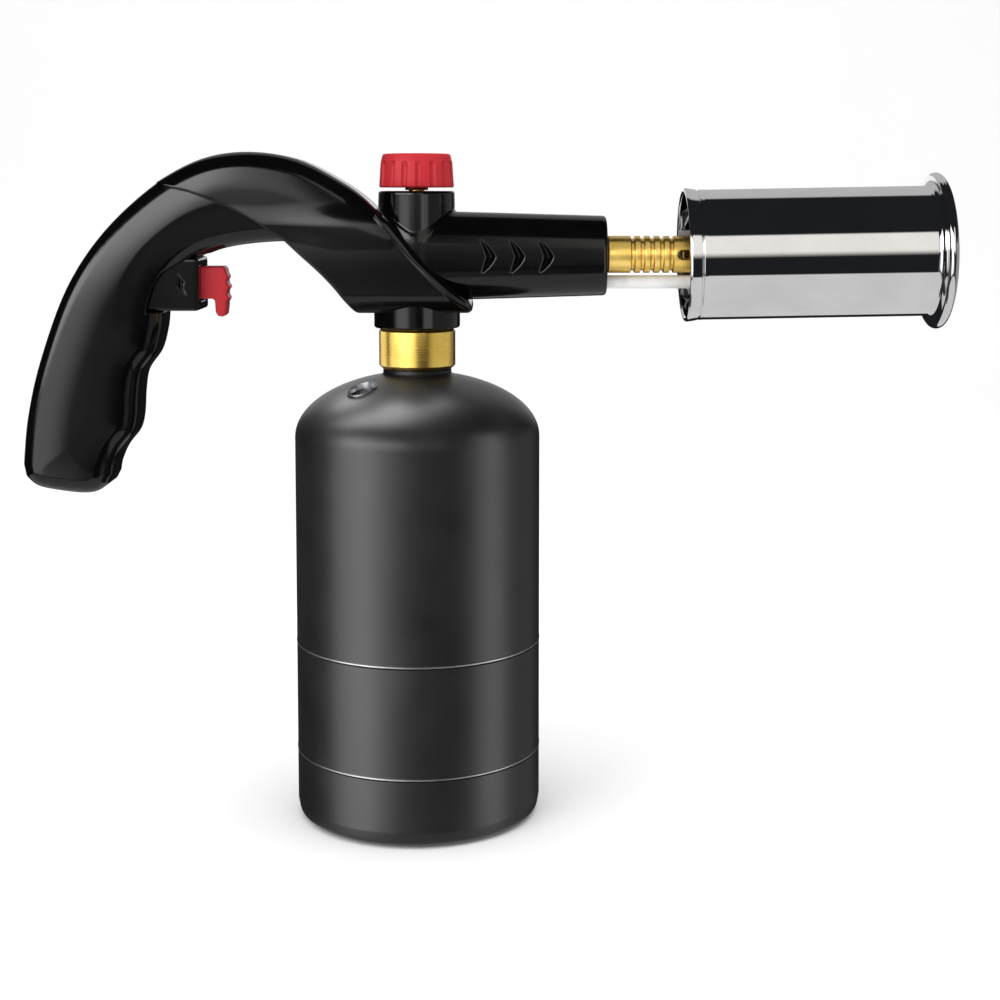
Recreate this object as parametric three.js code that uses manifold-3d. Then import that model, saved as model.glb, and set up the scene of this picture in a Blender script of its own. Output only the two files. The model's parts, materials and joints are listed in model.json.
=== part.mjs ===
// A hand torch that screws onto a one-pound gas cylinder.
// Millimetres. The origin is the centre of the cylinder's flat base, +Z is up,
// +X is the way the flame points, and the handle reaches back along -X.
import * as THREE from "three";
import { mergeVertices } from "three/addons/utils/BufferGeometryUtils.js";
import Module from "manifold-3d";

const wasm = await Module();
wasm.setup();

// ---- Driving dimensions -------------------------------------------------

const GAP = 0.3; // clearance between pieces that rest on or in each other
const FULL_TURN = 2 * Math.PI;
const FINE = 32; // facets round the cylinder and the burner guard
const MEDIUM = 24; // facets round collars, posts and tubes
const COARSE = 14; // facets round small and inner pieces

const TANK = { radius: 49.3, wall: 1.2, domeBase: 153.5, domeRise: 26, seam: 70.8 };
const FOOT = { top: 26.7, edge: 5, floor: 1.5 };
const DISH = { floor: 2.2, rise: 12 }; // the pressed base of the cylinder, risen in the middle
const SPIGOT = 8; // how far the lower shell reaches up inside the upper one
const NECK = { radius: 12.7, bore: 9, top: 191.5 };
const SHOULDER = { radius: 13.7, bottom: 178.9, top: 180.7 }; // a collar round the neck, under the thread
const FLANGE = { radius: 16, bottom: 173.5, top: 176.3 }; // the neck's foot, inside the dome
const COLLAR = { radius: 15.3, bottom: 181, top: 196.9, chamfer: 1.2, web: 193 };
const INLET = { radius: 10, top: 214, bore: 5.2 }; // the collar's stem, up into the handle
const SKIRT = { radius: 17.2, bottom: 197.2, top: 202.7 };

const COVER = { half: 20.5, wall: 2.8 };
const GRIP = { half: 15.5, wall: 2.5, round: 5 };
const BARREL = { axis: 226, back: -17, front: 75.5, halfBack: 18.5, halfFront: 15.83, wall: 2.5 };
const BARREL_CORNER = 8;
const BARREL_EDGE = 1.5;
const TURRET = { radius: 15.3, top: 251.7, bore: 12.8, roof: 2.5, edge: 1 };
const KNOB = { radius: 14.9, valley: 13.9, bottom: 253, top: 266.4, hub: 4.6, ribs: 16, edge: 1 };
const CAP = { radius: 7, bottom: 264.6, top: 266.2 };
const SPINDLE = { radius: 4, bottom: 228, top: 260.6, neck: 3.2, neckBottom: 251.2 };
const BLOCK = { radius: 9.5, top: 236, boss: 6, bossFront: 12 };

const BURNER_AXIS = 226.4;
const TUBE = { radius: 7.4, bore: 4.5, back: 76.3, front: 125, inlet: 2.3, inletFront: 78.3 };
const GROOVES = { count: 5, first: 85.3, pitch: 3.85, width: 1.6, depth: 1 };
const AIR_SLOT = { back: 103.5, front: 118, half: 2 };
const GAS = { radius: 2, bore: 1, back: 6, front: 80 };
const CUP = { radius: 18, wall: 1.2, back: 122, front: 168 };
const PLATE = { back: 134, front: 136, centre: 3.5, ring: 11, hole: 2.4, holes: 8 };
const SPIDER = { back: 124, front: 128, thickness: 1.7, arms: 3, armWidth: 6 };
const GUARD = { radius: 26, wall: 1, back: 106.6, front: 209.2, lip: 31.2 };
const HEAD_TILT = { pivot: 122, degrees: 1 }; // the guard and burner cup point a little upwards
const ELECTRODE = { axis: 215.4, tube: 2.65, bore: 1.2, rod: 0.9, back: 66, tubeFront: 131, rodFront: 142 };

const GUIDE = { back: -104, front: -85.6, half: 10, bottom: 204.4, top: 225.6 };
const TRIGGER = { back: -90, half: 4.5, bottom: 208.8, top: 221.6 };
const WINDOW = { half: 4.9, bottom: 208.2, top: 222.2 }; // the slot that the trigger slides in
const PUSH = { axis: 215, radius: 3, front: -90.3, back: -113 };
const IGNITER = { back: -129, front: -105, half: 6 };
const SCREW = { shank: 1.3, hole: 1.6, head: 2.8, boss: 3.6, headHeight: 2.2, sink: 2.6, reach: 8 };
const COVER_SCREWS = [[-40, 249], [-23, 212.5]];
const GRIP_SCREWS = [[-128, 190], [-140, 151]];

const RELIEF = { x: -20.7, y: -21.1, hole: 6 };

// ---- Side outlines, [x, z] ---------------------------------------------

const GRIP_BACK = [
  [-157, 143.2], [-154.9, 162], [-149.4, 184.6], [-138.3, 213.6], [-123, 236], [-102.3, 254.7],
];
const GRIP_HEAD = [[-86, 260], [-70, 262], [-50, 258], [-46, 231.6]];
const ARCH_INSIDE = [
  [-57.9, 231.6], [-73.9, 229.6], [-85.2, 225.6], [-96, 216.5], [-99.3, 206], [-99.7, 197.5],
];
const FINGER_SIDE = [
  [-103.4, 187], [-109.2, 178], [-111, 166], [-113.1, 155.4], [-119.4, 145.6], [-121.2, 139.5],
];
const GRIP_FOOT = [
  [-123.5, 135], [-128.2, 132], [-134.5, 131.4], [-146, 132.9], [-152, 134.6], [-156, 138.2],
];

const ARCH_TOP = [
  [-15, 245.6], [-28.5, 255.1], [-46, 264], [-65.5, 267], [-84, 264.2], [-102.3, 254.7],
];
const SWEEP_EDGE = [
  [-88.5, 251.4], [-76.1, 246.5], [-65.5, 241.2], [-52.7, 231.6], [-38.8, 218], [-26, 203],
];
const LIP_EDGE = [[22.4, 203], [13.2, 214.8], [5.2, 224.4], [-2.7, 234.4]];

const TRIGGER_TAIL = [[-80.7, 208.8], [-79.9, 203.2], [-77.5, 201.6], [-75.9, 203.2]];
const TRIGGER_FRONT = [[-75, 208], [-76.3, 209.9], [-75, 211.8], [-76.3, 213.8], [-75, 215.7], [-76, 220]];

const WIRE_ROUTE = [
  [-120, 0, 221.5], [-118, 0, 227], [-112, 1, 234], [-101, 3, 242], [-88, 4, 246], [-74, 5, 245.5],
  [-60, 6, 244], [-45, 8, 239], [-30, 11, 232], [-15, 11.6, 227], [10, 11.6, 222.5], [35, 8, 218],
  [55, 1.5, 215.7], [64, 0, ELECTRODE.axis],
];

// ---- Materials ----------------------------------------------------------

function material(color, roughness, metalness) {
  return new THREE.MeshStandardMaterial({ color, roughness, metalness });
}
const blackPaint = material(0x202022, 0.5, 0.2);
const blackPlastic = material(0x111113, 0.25, 0);
const redPlastic = material(0xc23a44, 0.4, 0);
const brass = material(0xd9b15a, 0.25, 1);
const chrome = material(0xe6e6e8, 0.08, 1);
const steel = material(0xa8abb0, 0.35, 1);
const ceramic = material(0xf2f0ea, 0.35, 0);
const rubber = material(0x1c1c1c, 0.8, 0);
const insulation = material(0x3a3a3c, 0.6, 0);

// ---- Geometry helpers ---------------------------------------------------

function solid(geometry) {
  const bare = geometry.index ? geometry.toNonIndexed() : geometry.clone();
  bare.deleteAttribute("normal");
  bare.deleteAttribute("uv");
  const merged = mergeVertices(bare, 1e-4);
  const vertProperties = new Float32Array(merged.attributes.position.array);
  const triVerts = new Uint32Array(merged.index.array);
  return new wasm.Manifold(new wasm.Mesh({ numProp: 3, vertProperties, triVerts }));
}

function geometryOf(manifold) {
  const mesh = manifold.getMesh();
  const geometry = new THREE.BufferGeometry();
  geometry.setAttribute("position", new THREE.BufferAttribute(mesh.vertProperties.slice(), 3));
  geometry.setIndex(new THREE.BufferAttribute(mesh.triVerts.slice(), 1));
  geometry.computeVertexNormals();
  return geometry;
}

const vectors = (points) => points.map(([a, b]) => new THREE.Vector2(a, b));

// Points [radius, height], anticlockwise; a ring closes on its first point.
function latheOf(profile, segments) {
  const touchesAxis = profile[0][0] === 0;
  const points = vectors(touchesAxis ? profile : [...profile, profile[0]]);
  return new THREE.LatheGeometry(points, segments);
}
const turned = (profile, segments = COARSE) => solid(latheOf(profile, segments).rotateX(Math.PI / 2));
const turnedAlongX = (profile, segments = COARSE, height = BURNER_AXIS) =>
  solid(latheOf(profile, segments).rotateZ(-Math.PI / 2).translate(0, 0, height));

const rod = (radius, from, to) => [[0, from], [radius, from], [radius, to], [0, to]];
const rodZ = (radius, from, to, segments = COARSE) => turned(rod(radius, from, to), segments);
const rodX = (radius, from, to, height, segments = COARSE) =>
  turnedAlongX(rod(radius, from, to), segments, height);
const rodY = (radius, from, to, x, z) => solid(latheOf(rod(radius, from, to), 12).translate(x, 0, z));
const tube = (inner, outer, from, to) => [[inner, from], [outer, from], [outer, to], [inner, to]];

function box(low, high) {
  const size = high.map((value, i) => value - low[i]);
  const centre = high.map((value, i) => (value + low[i]) / 2);
  return solid(new THREE.BoxGeometry(...size).translate(...centre));
}

// A side outline carried out to +-half along Y. Its edges are rounded, and it can be grown or shrunk.
function slab(outline, half, { round = 0, grow = 0 } = {}) {
  const edge = Math.max(round, Math.abs(grow));
  const geometry = new THREE.ExtrudeGeometry(new THREE.Shape(vectors(outline)), {
    depth: 2 * (half + grow - edge),
    bevelEnabled: edge > 0,
    bevelThickness: edge,
    bevelSize: round,
    bevelOffset: grow - round,
    bevelSegments: round > 0 ? 2 : 1,
  });
  return solid(geometry.rotateX(Math.PI / 2).translate(0, half + grow - edge, 0));
}

function smooth(points, perSpan) {
  return new THREE.SplineCurve(vectors(points))
    .getPoints(perSpan * (points.length - 1))
    .map((point) => [point.x, point.y]);
}

class Helix extends THREE.Curve {
  constructor(radius, length, turns) {
    super();
    Object.assign(this, { radius, length, turns });
  }
  getPoint(t, target = new THREE.Vector3()) {
    const angle = FULL_TURN * this.turns * t;
    return target.set(this.radius * Math.cos(angle), this.radius * Math.sin(angle), this.length * t);
  }
}

function sweptRound(path, radius, sides, steps) {
  const section = new THREE.Shape();
  for (let i = 0; i < sides; i += 1) {
    const angle = (FULL_TURN * i) / sides;
    const corner = [radius * Math.cos(angle), radius * Math.sin(angle)];
    if (i === 0) section.moveTo(...corner);
    else section.lineTo(...corner);
  }
  return new THREE.ExtrudeGeometry(section, { steps, extrudePath: path });
}

// A coil spring standing on z = 0 with its wire inside the given length.
function spring(radius, length, turns, wire) {
  const path = new Helix(radius, length - 2 * wire, turns);
  return sweptRound(path, wire, 5, turns * 8).translate(0, 0, wire);
}

// ---- Scene graph --------------------------------------------------------

const torch = new THREE.Group();

function add(name, shape, look, parent = torch) {
  const geometry = shape.getMesh ? geometryOf(shape) : shape;
  const mesh = new THREE.Mesh(geometry, look);
  mesh.name = name;
  parent.add(mesh);
  return mesh;
}

// ---- Gas cylinder -------------------------------------------------------

function domeArc(inset, fromRadius, steps) {
  const wide = TANK.radius - inset;
  const rise = TANK.domeRise - inset;
  const last = Math.acos(fromRadius / wide);
  const points = [];
  for (let i = 0; i <= steps; i += 1) {
    const angle = (last * i) / steps;
    points.push([wide * Math.cos(angle), TANK.domeBase + rise * Math.sin(angle)]);
  }
  return points;
}

const INNER_RADIUS = TANK.radius - TANK.wall;
const NECK_HOLE = NECK.radius + GAP;

const reliefSlope = Math.hypot(RELIEF.x, RELIEF.y);
const reliefHeight = TANK.domeRise * Math.sqrt(1 - (reliefSlope / TANK.radius) ** 2);
const reliefTilt = Math.atan2(reliefSlope / TANK.radius ** 2, reliefHeight / TANK.domeRise ** 2);
const reliefHeading = Math.atan2(RELIEF.y, RELIEF.x);
const relief = new THREE.Group();
relief.position.set(RELIEF.x, RELIEF.y, TANK.domeBase + reliefHeight);
relief.rotation.set(0, reliefTilt, reliefHeading, "ZYX");
relief.updateMatrix();
torch.add(relief);

function upperShell() {
  const inner = domeArc(TANK.wall, NECK_HOLE, 4).reverse();
  const profile = [
    [INNER_RADIUS, TANK.seam],
    [TANK.radius, TANK.seam],
    ...domeArc(0, NECK_HOLE, 6),
    ...inner,
  ];
  const reliefHole = latheOf(rod(RELIEF.hole, -6, 6), 16).rotateX(Math.PI / 2).applyMatrix4(relief.matrix);
  return turned(profile, FINE).subtract(solid(reliefHole));
}

function lowerShell() {
  const spigot = INNER_RADIUS - GAP;
  const inside = spigot - TANK.wall;
  const { floor, rise } = DISH;
  return turned([
    [0, floor + rise], [30, floor + 3], [40, floor], [44, floor], [spigot, 8],
    [spigot, FOOT.top - 1.5], [TANK.radius, FOOT.top + GAP], [TANK.radius, TANK.seam - GAP],
    [spigot, TANK.seam - GAP], [spigot, TANK.seam + SPIGOT], [inside, TANK.seam + SPIGOT],
    [inside, 9], [43.4, floor + TANK.wall], [30, floor + 3 + TANK.wall], [0, floor + rise + TANK.wall],
  ], FINE);
}

function footCup() {
  return turned([
    [0, 0], [TANK.radius - FOOT.edge, 0], [TANK.radius - 1.5, 1.5], [TANK.radius, FOOT.edge],
    [TANK.radius, FOOT.top], [INNER_RADIUS, FOOT.top - 1.2], [INNER_RADIUS, 6.5],
    [INNER_RADIUS - 3.6, FOOT.floor], [0, FOOT.floor],
  ], FINE);
}

function neckBoss() {
  const chamfer = 0.8;
  return turned([
    [NECK.bore, FLANGE.bottom], [FLANGE.radius, FLANGE.bottom], [FLANGE.radius, FLANGE.top],
    [NECK.radius, FLANGE.top + chamfer], [NECK.radius, SHOULDER.bottom],
    [SHOULDER.radius, SHOULDER.bottom], [SHOULDER.radius, SHOULDER.top],
    [NECK.radius, SHOULDER.top], [NECK.radius, NECK.top - chamfer],
    [NECK.radius - chamfer, NECK.top], [NECK.bore, NECK.top],
  ], MEDIUM);
}

add("tank_shell_upper", upperShell(), blackPaint);
add("tank_shell_lower", lowerShell(), blackPaint);
add("tank_foot_cup", footCup(), blackPaint);
add("tank_neck_boss", neckBoss(), steel);

const VALVE_RADIUS = NECK.bore - GAP;
add("tank_valve_body", turned([
  [2.5, 172], [VALVE_RADIUS, 172], [VALVE_RADIUS, 188.5], [5.5, 188.5], [5.5, 185.5], [1.9, 185.5],
  [1.9, 183], [4.5, 183], [4.5, 174], [2.5, 174],
]), brass);
add("tank_valve_seal", turned(tube(2, 5.2, 185.8, 188)), rubber);
add("tank_valve_pin", turned([
  [0, 177], [1.5, 177], [1.5, 179], [3.8, 179], [3.8, 180], [1.5, 180], [1.5, 187.2], [0, 187.2],
], 10), brass);
add("tank_valve_spring", spring(2.8, 4.4, 3, 0.45), steel).position.z = 174.3;

add("relief_valve_body", turned([
  [2.5, -9], [5.6, -9], [5.6, 0.4], [6.5, 0.4], [6.5, 1.1], [5.45, 1.1], [5.45, -1.4], [4.6, -1.4],
  [4.6, -5.2], [2.5, -5.2],
], 16), steel, relief);
add("relief_retainer", turned(tube(1.9, 5.1, -1.1, -0.4)), steel, relief);
add("relief_poppet", turned([[0, -4.9], [4.2, -4.9], [4.2, -3.9], [1.5, -3.9], [1.5, -0.3], [0, -0.3]]),
  brass, relief);
add("relief_spring", spring(2.6, 2.2, 2, 0.3), steel, relief).position.z = -3.6;

// ---- Threaded collar and gas inlet --------------------------------------

add("collar_nut", turned([
  [NECK_HOLE, COLLAR.bottom], [COLLAR.radius - COLLAR.chamfer, COLLAR.bottom],
  [COLLAR.radius, COLLAR.bottom + COLLAR.chamfer], [COLLAR.radius, COLLAR.top],
  [INLET.radius, COLLAR.top], [INLET.radius, INLET.top], [INLET.bore, INLET.top],
  [INLET.bore, COLLAR.web], [NECK_HOLE, COLLAR.web],
], MEDIUM), brass);
add("inlet_seal", turned(tube(6, 12, NECK.top + GAP, COLLAR.web - GAP), MEDIUM), rubber);
add("inlet_depressor", rodZ(1.3, 187.5, 196, 10).add(rodZ(INLET.bore - GAP, 195, 212, 6)), brass);
add("neck_skirt", turned([
  [INLET.radius + GAP, SKIRT.bottom], [SKIRT.radius - 1, SKIRT.bottom],
  [SKIRT.radius, SKIRT.bottom + 1], [SKIRT.radius, SKIRT.top], [INLET.radius + GAP, SKIRT.top],
], MEDIUM), blackPlastic);

// ---- Barrel housing with its turret -------------------------------------

function roundedSquare(half, corner) {
  const flat = half - corner;
  const shape = new THREE.Shape();
  shape.moveTo(-flat, -half);
  shape.lineTo(flat, -half);
  shape.absarc(flat, -flat, corner, -Math.PI / 2, 0);
  shape.lineTo(half, flat);
  shape.absarc(flat, flat, corner, 0, Math.PI / 2);
  shape.lineTo(-flat, half);
  shape.absarc(-flat, flat, corner, Math.PI / 2, Math.PI);
  shape.lineTo(-half, -flat);
  shape.absarc(-flat, -flat, corner, Math.PI, 1.5 * Math.PI);
  return shape;
}

// The square tube, widest at the back. inset shrinks it, and a negative inset grows it.
function taperedTube(inset, back, front, edge) {
  const geometry = new THREE.ExtrudeGeometry(roundedSquare(1, BARREL_CORNER / BARREL.halfBack), {
    depth: front - back - 2 * edge,
    curveSegments: 3,
    bevelEnabled: edge > 0,
    bevelThickness: edge,
    bevelSize: edge / BARREL.halfBack,
    bevelOffset: -edge / BARREL.halfBack,
    bevelSegments: 2,
  });
  geometry.rotateY(Math.PI / 2).translate(back + edge, 0, 0);
  const place = geometry.attributes.position;
  for (let i = 0; i < place.count; i += 1) {
    const along = (place.getX(i) - BARREL.back) / (BARREL.front - BARREL.back);
    const half = THREE.MathUtils.lerp(BARREL.halfBack, BARREL.halfFront, along) - inset;
    place.setY(i, place.getY(i) * half);
    place.setZ(i, BARREL.axis + place.getZ(i) * half);
  }
  return solid(geometry);
}

function turretPost(grow) {
  const radius = TURRET.radius + grow;
  const top = TURRET.top + grow;
  return turned([
    [0, BARREL.axis], [radius, BARREL.axis], [radius, top - TURRET.edge],
    [radius - TURRET.edge, top], [0, top],
  ], MEDIUM);
}

// Three crescent grooves on each side wall point the way of the flame.
function crescents() {
  const first = { tail: 26.4, tip: 31.7, inner: 29.3, high: 6.5, depth: 0.8 };
  const pitch = 11.3;
  const shape = new THREE.Shape();
  shape.moveTo(first.tail, BARREL.axis + first.high);
  shape.quadraticCurveTo(2 * first.inner - first.tail, BARREL.axis, first.tail, BARREL.axis - first.high);
  shape.quadraticCurveTo(2 * first.tip - first.tail, BARREL.axis, first.tail, BARREL.axis + first.high);
  const outline = shape.getPoints(3).map((point) => [point.x, point.y]);
  const cutters = [];
  for (let i = 0; i < 3; i += 1) {
    const shifted = outline.slice(0, -1).map(([x, z]) => [x + i * pitch, z]);
    for (const side of [-1, 1]) {
      cutters.push(slab(shifted, 2).translate([0, side * (16.2 + 2), 0]));
    }
  }
  return cutters;
}

function barrelHousing() {
  const outside = taperedTube(0, BARREL.back, BARREL.front, BARREL_EDGE).add(turretPost(0));
  const body = outside
    .subtract(taperedTube(BARREL.wall, BARREL.back - 1, BARREL.front - BARREL.wall, 0))
    .subtract(rodZ(TURRET.bore, BARREL.axis, TURRET.top - TURRET.roof, MEDIUM))
    .subtract(rodZ(SPINDLE.radius + 0.4, TURRET.top - 5, TURRET.top + 1))
    .subtract(rodZ(INLET.radius + GAP, 200, BARREL.axis))
    .subtract(rodX(GAS.radius + GAP, 70, 80, BURNER_AXIS))
    .subtract(rodX(ELECTRODE.tube + GAP, 70, 80, ELECTRODE.axis));
  return crescents().reduce((left, cutter) => left.subtract(cutter), body);
}
add("barrel_housing", barrelHousing(), blackPlastic);

// ---- Handle shells, split along Y = 0 -----------------------------------

const GRIP_OUTLINE = [
  ...smooth(GRIP_BACK, 1), ...GRIP_HEAD, ...smooth(ARCH_INSIDE, 1), ...smooth(FINGER_SIDE, 2), ...GRIP_FOOT,
];
const COVER_OUTLINE = [...smooth(ARCH_TOP, 2), ...SWEEP_EDGE, ...LIP_EDGE];
const coverGrown = slab(COVER_OUTLINE, COVER.half, { grow: GAP });
const barrelGrown = taperedTube(-GAP, BARREL.back - 1, BARREL.front, 0).add(turretPost(GAP));
const spigotHole = rodZ(INLET.radius + GAP, 195, BARREL.axis);
const cablePassage = box([-86, -8, 232], [-58, 8, 250]);
const pusherHole = rodX(5.2, -110, -90, PUSH.axis);
const triggerWindow = box([-97, -WINDOW.half, WINDOW.bottom], [-80, WINDOW.half, WINDOW.top]);

// Both halves of a shell, with a boss for each screw. The screw heads sink into the +Y half.
function shellHalves(outer, inner, half, screws, cuts) {
  let shell = outer.subtract(inner);
  for (const [x, z] of screws) {
    shell = shell
      .add(rodY(SCREW.boss, -half + 1, half - 1, x, z))
      .subtract(rodY(SCREW.hole, -SCREW.reach - 1, half + 1, x, z))
      .subtract(rodY(SCREW.head + GAP, half - SCREW.sink, half + 1, x, z));
  }
  shell = cuts.reduce((left, cutter) => left.subtract(cutter), shell);
  const reach = 400;
  const front = box([-reach, -reach, 0], [reach, -GAP / 2, reach]);
  const back = box([-reach, GAP / 2, 0], [reach, reach, reach]);
  return [shell.intersect(front), shell.intersect(back)];
}

const [coverFront, coverBack] = shellHalves(
  slab(COVER_OUTLINE, COVER.half),
  slab(COVER_OUTLINE, COVER.half, { grow: -COVER.wall }),
  COVER.half, COVER_SCREWS, [barrelGrown, spigotHole, cablePassage],
);
add("arch_cover_front", coverFront, blackPlastic);
add("arch_cover_back", coverBack, blackPlastic);

const [gripFront, gripBack] = shellHalves(
  slab(GRIP_OUTLINE, GRIP.half, { round: GRIP.round }),
  slab(GRIP_OUTLINE, GRIP.half, { round: 3, grow: -GRIP.wall }),
  GRIP.half, GRIP_SCREWS, [coverGrown, pusherHole, triggerWindow],
);
add("grip_shell_front", gripFront, blackPlastic);
add("grip_shell_back", gripBack, blackPlastic);

function shellScrew(half) {
  const seat = half - SCREW.sink + GAP;
  const profile = [
    [0, -SCREW.reach], [SCREW.shank, -SCREW.reach], [SCREW.shank, seat], [SCREW.head, seat],
    [SCREW.head, seat + SCREW.headHeight], [0, seat + SCREW.headHeight],
  ];
  return solid(latheOf(profile, 10));
}
const screwPlaces = [
  ...COVER_SCREWS.map(([x, z]) => ({ x, z, half: COVER.half })),
  ...GRIP_SCREWS.map(([x, z]) => ({ x, z, half: GRIP.half })),
];
screwPlaces.forEach(({ x, z, half }, i) => {
  add(`shell_screw_${i + 1}`, shellScrew(half), steel).position.set(x, 0, z);
});

// ---- Trigger and spark igniter ------------------------------------------

const gripGrown = slab(GRIP_OUTLINE, GRIP.half, { round: GRIP.round, grow: GAP });
add("trigger_guide",
  box([GUIDE.back, -GUIDE.half, GUIDE.bottom], [GUIDE.front, GUIDE.half, GUIDE.top])
    .subtract(gripGrown)
    .subtract(box([GUIDE.back, -WINDOW.half, WINDOW.bottom], [GUIDE.front + 1, WINDOW.half, WINDOW.top])),
  blackPlastic);

const TRIGGER_OUTLINE = [
  [TRIGGER.back, TRIGGER.bottom], ...TRIGGER_TAIL, ...TRIGGER_FRONT, [-76.4, TRIGGER.top],
  [TRIGGER.back, TRIGGER.top],
];
add("trigger", slab(TRIGGER_OUTLINE, TRIGGER.half), redPlastic);
add("piezo_plunger", rodX(PUSH.radius, PUSH.back, PUSH.front, PUSH.axis), steel);
const igniterBlock = box(
  [IGNITER.back, -IGNITER.half, PUSH.axis - IGNITER.half],
  [IGNITER.front, IGNITER.half, PUSH.axis + IGNITER.half],
);
const plungerBore = rodX(PUSH.radius + GAP, PUSH.back - 6, IGNITER.front + 1, PUSH.axis);
add("piezo_igniter", igniterBlock.subtract(plungerBore), insulation);

const springLength = TRIGGER.back - IGNITER.front - 2 * GAP;
const triggerSpring = add("trigger_spring", spring(4.1, springLength, 5, 0.4), steel);
triggerSpring.position.set(IGNITER.front + GAP, 0, PUSH.axis);
triggerSpring.rotation.y = Math.PI / 2;

const wirePath = new THREE.CatmullRomCurve3(WIRE_ROUTE.map((point) => new THREE.Vector3(...point)));
add("ignition_wire", sweptRound(wirePath, 1.2, 6, 40), insulation);

// ---- Valve --------------------------------------------------------------

const blockBottom = INLET.top + GAP;
add("valve_block",
  rodZ(BLOCK.radius, blockBottom, BLOCK.top, MEDIUM)
    .add(rodX(BLOCK.boss, 0, BLOCK.bossFront, BURNER_AXIS))
    .subtract(rodZ(3, blockBottom - 1, 221))
    .subtract(rodZ(1.4, 220, 225))
    .subtract(rodZ(SPINDLE.radius + 0.4, 224, BLOCK.top + 1))
    .subtract(rodX(GAS.radius + GAP, 0, BLOCK.bossFront + 1, BURNER_AXIS)),
  brass);
add("gland_nut", turned([
  [4.4, BLOCK.top + GAP], [8, BLOCK.top + GAP], [8, 243], [4.4, 243],
  [4.4, 241.2], [6.5, 241.2], [6.5, 238.8], [4.4, 238.8],
], 16), brass);
add("spindle_o_ring", solid(new THREE.TorusGeometry(5.3, 0.85, 6, 16).translate(0, 0, 240)), rubber);
add("valve_spindle",
  rodZ(SPINDLE.radius, SPINDLE.bottom, SPINDLE.neckBottom)
    .add(rodZ(SPINDLE.neck, SPINDLE.neckBottom - 1, SPINDLE.top))
    .subtract(rodZ(1.3, SPINDLE.bottom - 1, 233, 10))
    .subtract(rodZ(1.8, 254.5, SPINDLE.top + 1, 10)),
  brass);
add("valve_needle", turned([[0, 222.4], [0.3, 222.4], [1, 224.8], [1, 232.7], [0, 232.7]], 10), steel);

// A rib, by share of the pitch between ribs: up its flank, across its crown and down again.
const RIB = [[KNOB.valley, -0.34], [KNOB.radius, -0.2], [KNOB.radius, 0.2], [KNOB.valley, 0.34]];
const KNOB_SCREW = { bottom: 255.5, shank: 1.5, seat: 262.2, head: 3.1, top: 264 };

function knobBody() {
  const step = FULL_TURN / KNOB.ribs;
  const outline = [];
  for (let i = 0; i < KNOB.ribs; i += 1) {
    for (const [radius, offset] of RIB) {
      const angle = (i + offset) * step;
      outline.push([radius * Math.cos(angle), radius * Math.sin(angle)]);
    }
  }
  const ribbed = new THREE.ExtrudeGeometry(new THREE.Shape(vectors(outline)), {
    depth: KNOB.top - KNOB.bottom - 2 * KNOB.edge,
    bevelThickness: KNOB.edge,
    bevelSize: KNOB.edge,
    bevelOffset: -KNOB.edge,
    bevelSegments: 1,
  });
  return solid(ribbed.translate(0, 0, KNOB.bottom + KNOB.edge))
    .add(rodZ(KNOB.hub, TURRET.top + GAP, KNOB.bottom + 1))
    .subtract(rodZ(SPINDLE.neck + GAP, TURRET.top - 1, SPINDLE.top + GAP))
    .subtract(rodZ(KNOB_SCREW.shank + GAP, SPINDLE.top, KNOB_SCREW.seat + 1))
    .subtract(rodZ(KNOB_SCREW.head + GAP, KNOB_SCREW.seat - GAP, CAP.bottom))
    .subtract(rodZ(CAP.radius + GAP, CAP.bottom - GAP, KNOB.top + 1, MEDIUM));
}
add("knob", knobBody(), redPlastic);
add("knob_screw", turned([
  [0, KNOB_SCREW.bottom], [KNOB_SCREW.shank, KNOB_SCREW.bottom], [KNOB_SCREW.shank, KNOB_SCREW.seat],
  [KNOB_SCREW.head, KNOB_SCREW.seat], [KNOB_SCREW.head, KNOB_SCREW.top], [0, KNOB_SCREW.top],
], 10), steel);
add("knob_cap", rodZ(CAP.radius, CAP.bottom, CAP.top, MEDIUM), redPlastic);

// ---- Burner -------------------------------------------------------------

add("gas_tube", turnedAlongX(tube(GAS.bore, GAS.radius, GAS.back, GAS.front)), steel);
add("jet_nozzle", turnedAlongX([
  [1.2, 80.3], [4.2, 80.3], [4.2, 86], [2, 90], [0.5, 90], [0.5, 87], [1.2, 86.5],
]), brass);

function mixingTube() {
  const outside = [[TUBE.radius, TUBE.back]];
  const low = TUBE.radius - GROOVES.depth;
  for (let i = 0; i < GROOVES.count; i += 1) {
    const start = GROOVES.first + i * GROOVES.pitch;
    const end = start + GROOVES.width;
    outside.push([TUBE.radius, start], [low, start], [low, end], [TUBE.radius, end]);
  }
  const inside = [
    [TUBE.radius, TUBE.front], [TUBE.bore, TUBE.front], [TUBE.bore, TUBE.inletFront],
    [TUBE.inlet, TUBE.inletFront], [TUBE.inlet, TUBE.back],
  ];
  const { back, front, half } = AIR_SLOT;
  const beyond = TUBE.radius + 2;
  const sideSlots = box([back, -beyond, BURNER_AXIS - half], [front, beyond, BURNER_AXIS + half]);
  const topSlots = box([back, -half, BURNER_AXIS - beyond], [front, half, BURNER_AXIS + beyond]);
  return turnedAlongX([...outside, ...inside], 18).subtract(sideSlots).subtract(topSlots);
}
add("mixing_tube", mixingTube(), brass);

add("electrode_tube",
  turnedAlongX(
    tube(ELECTRODE.bore, ELECTRODE.tube, ELECTRODE.back, ELECTRODE.tubeFront), COARSE, ELECTRODE.axis,
  ), ceramic);
add("electrode_rod",
  rodX(ELECTRODE.rod, ELECTRODE.back - 1.7, ELECTRODE.rodFront, ELECTRODE.axis, 8), steel);

// ---- Burner cup and guard, tilted together about the back of the cup -----

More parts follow.
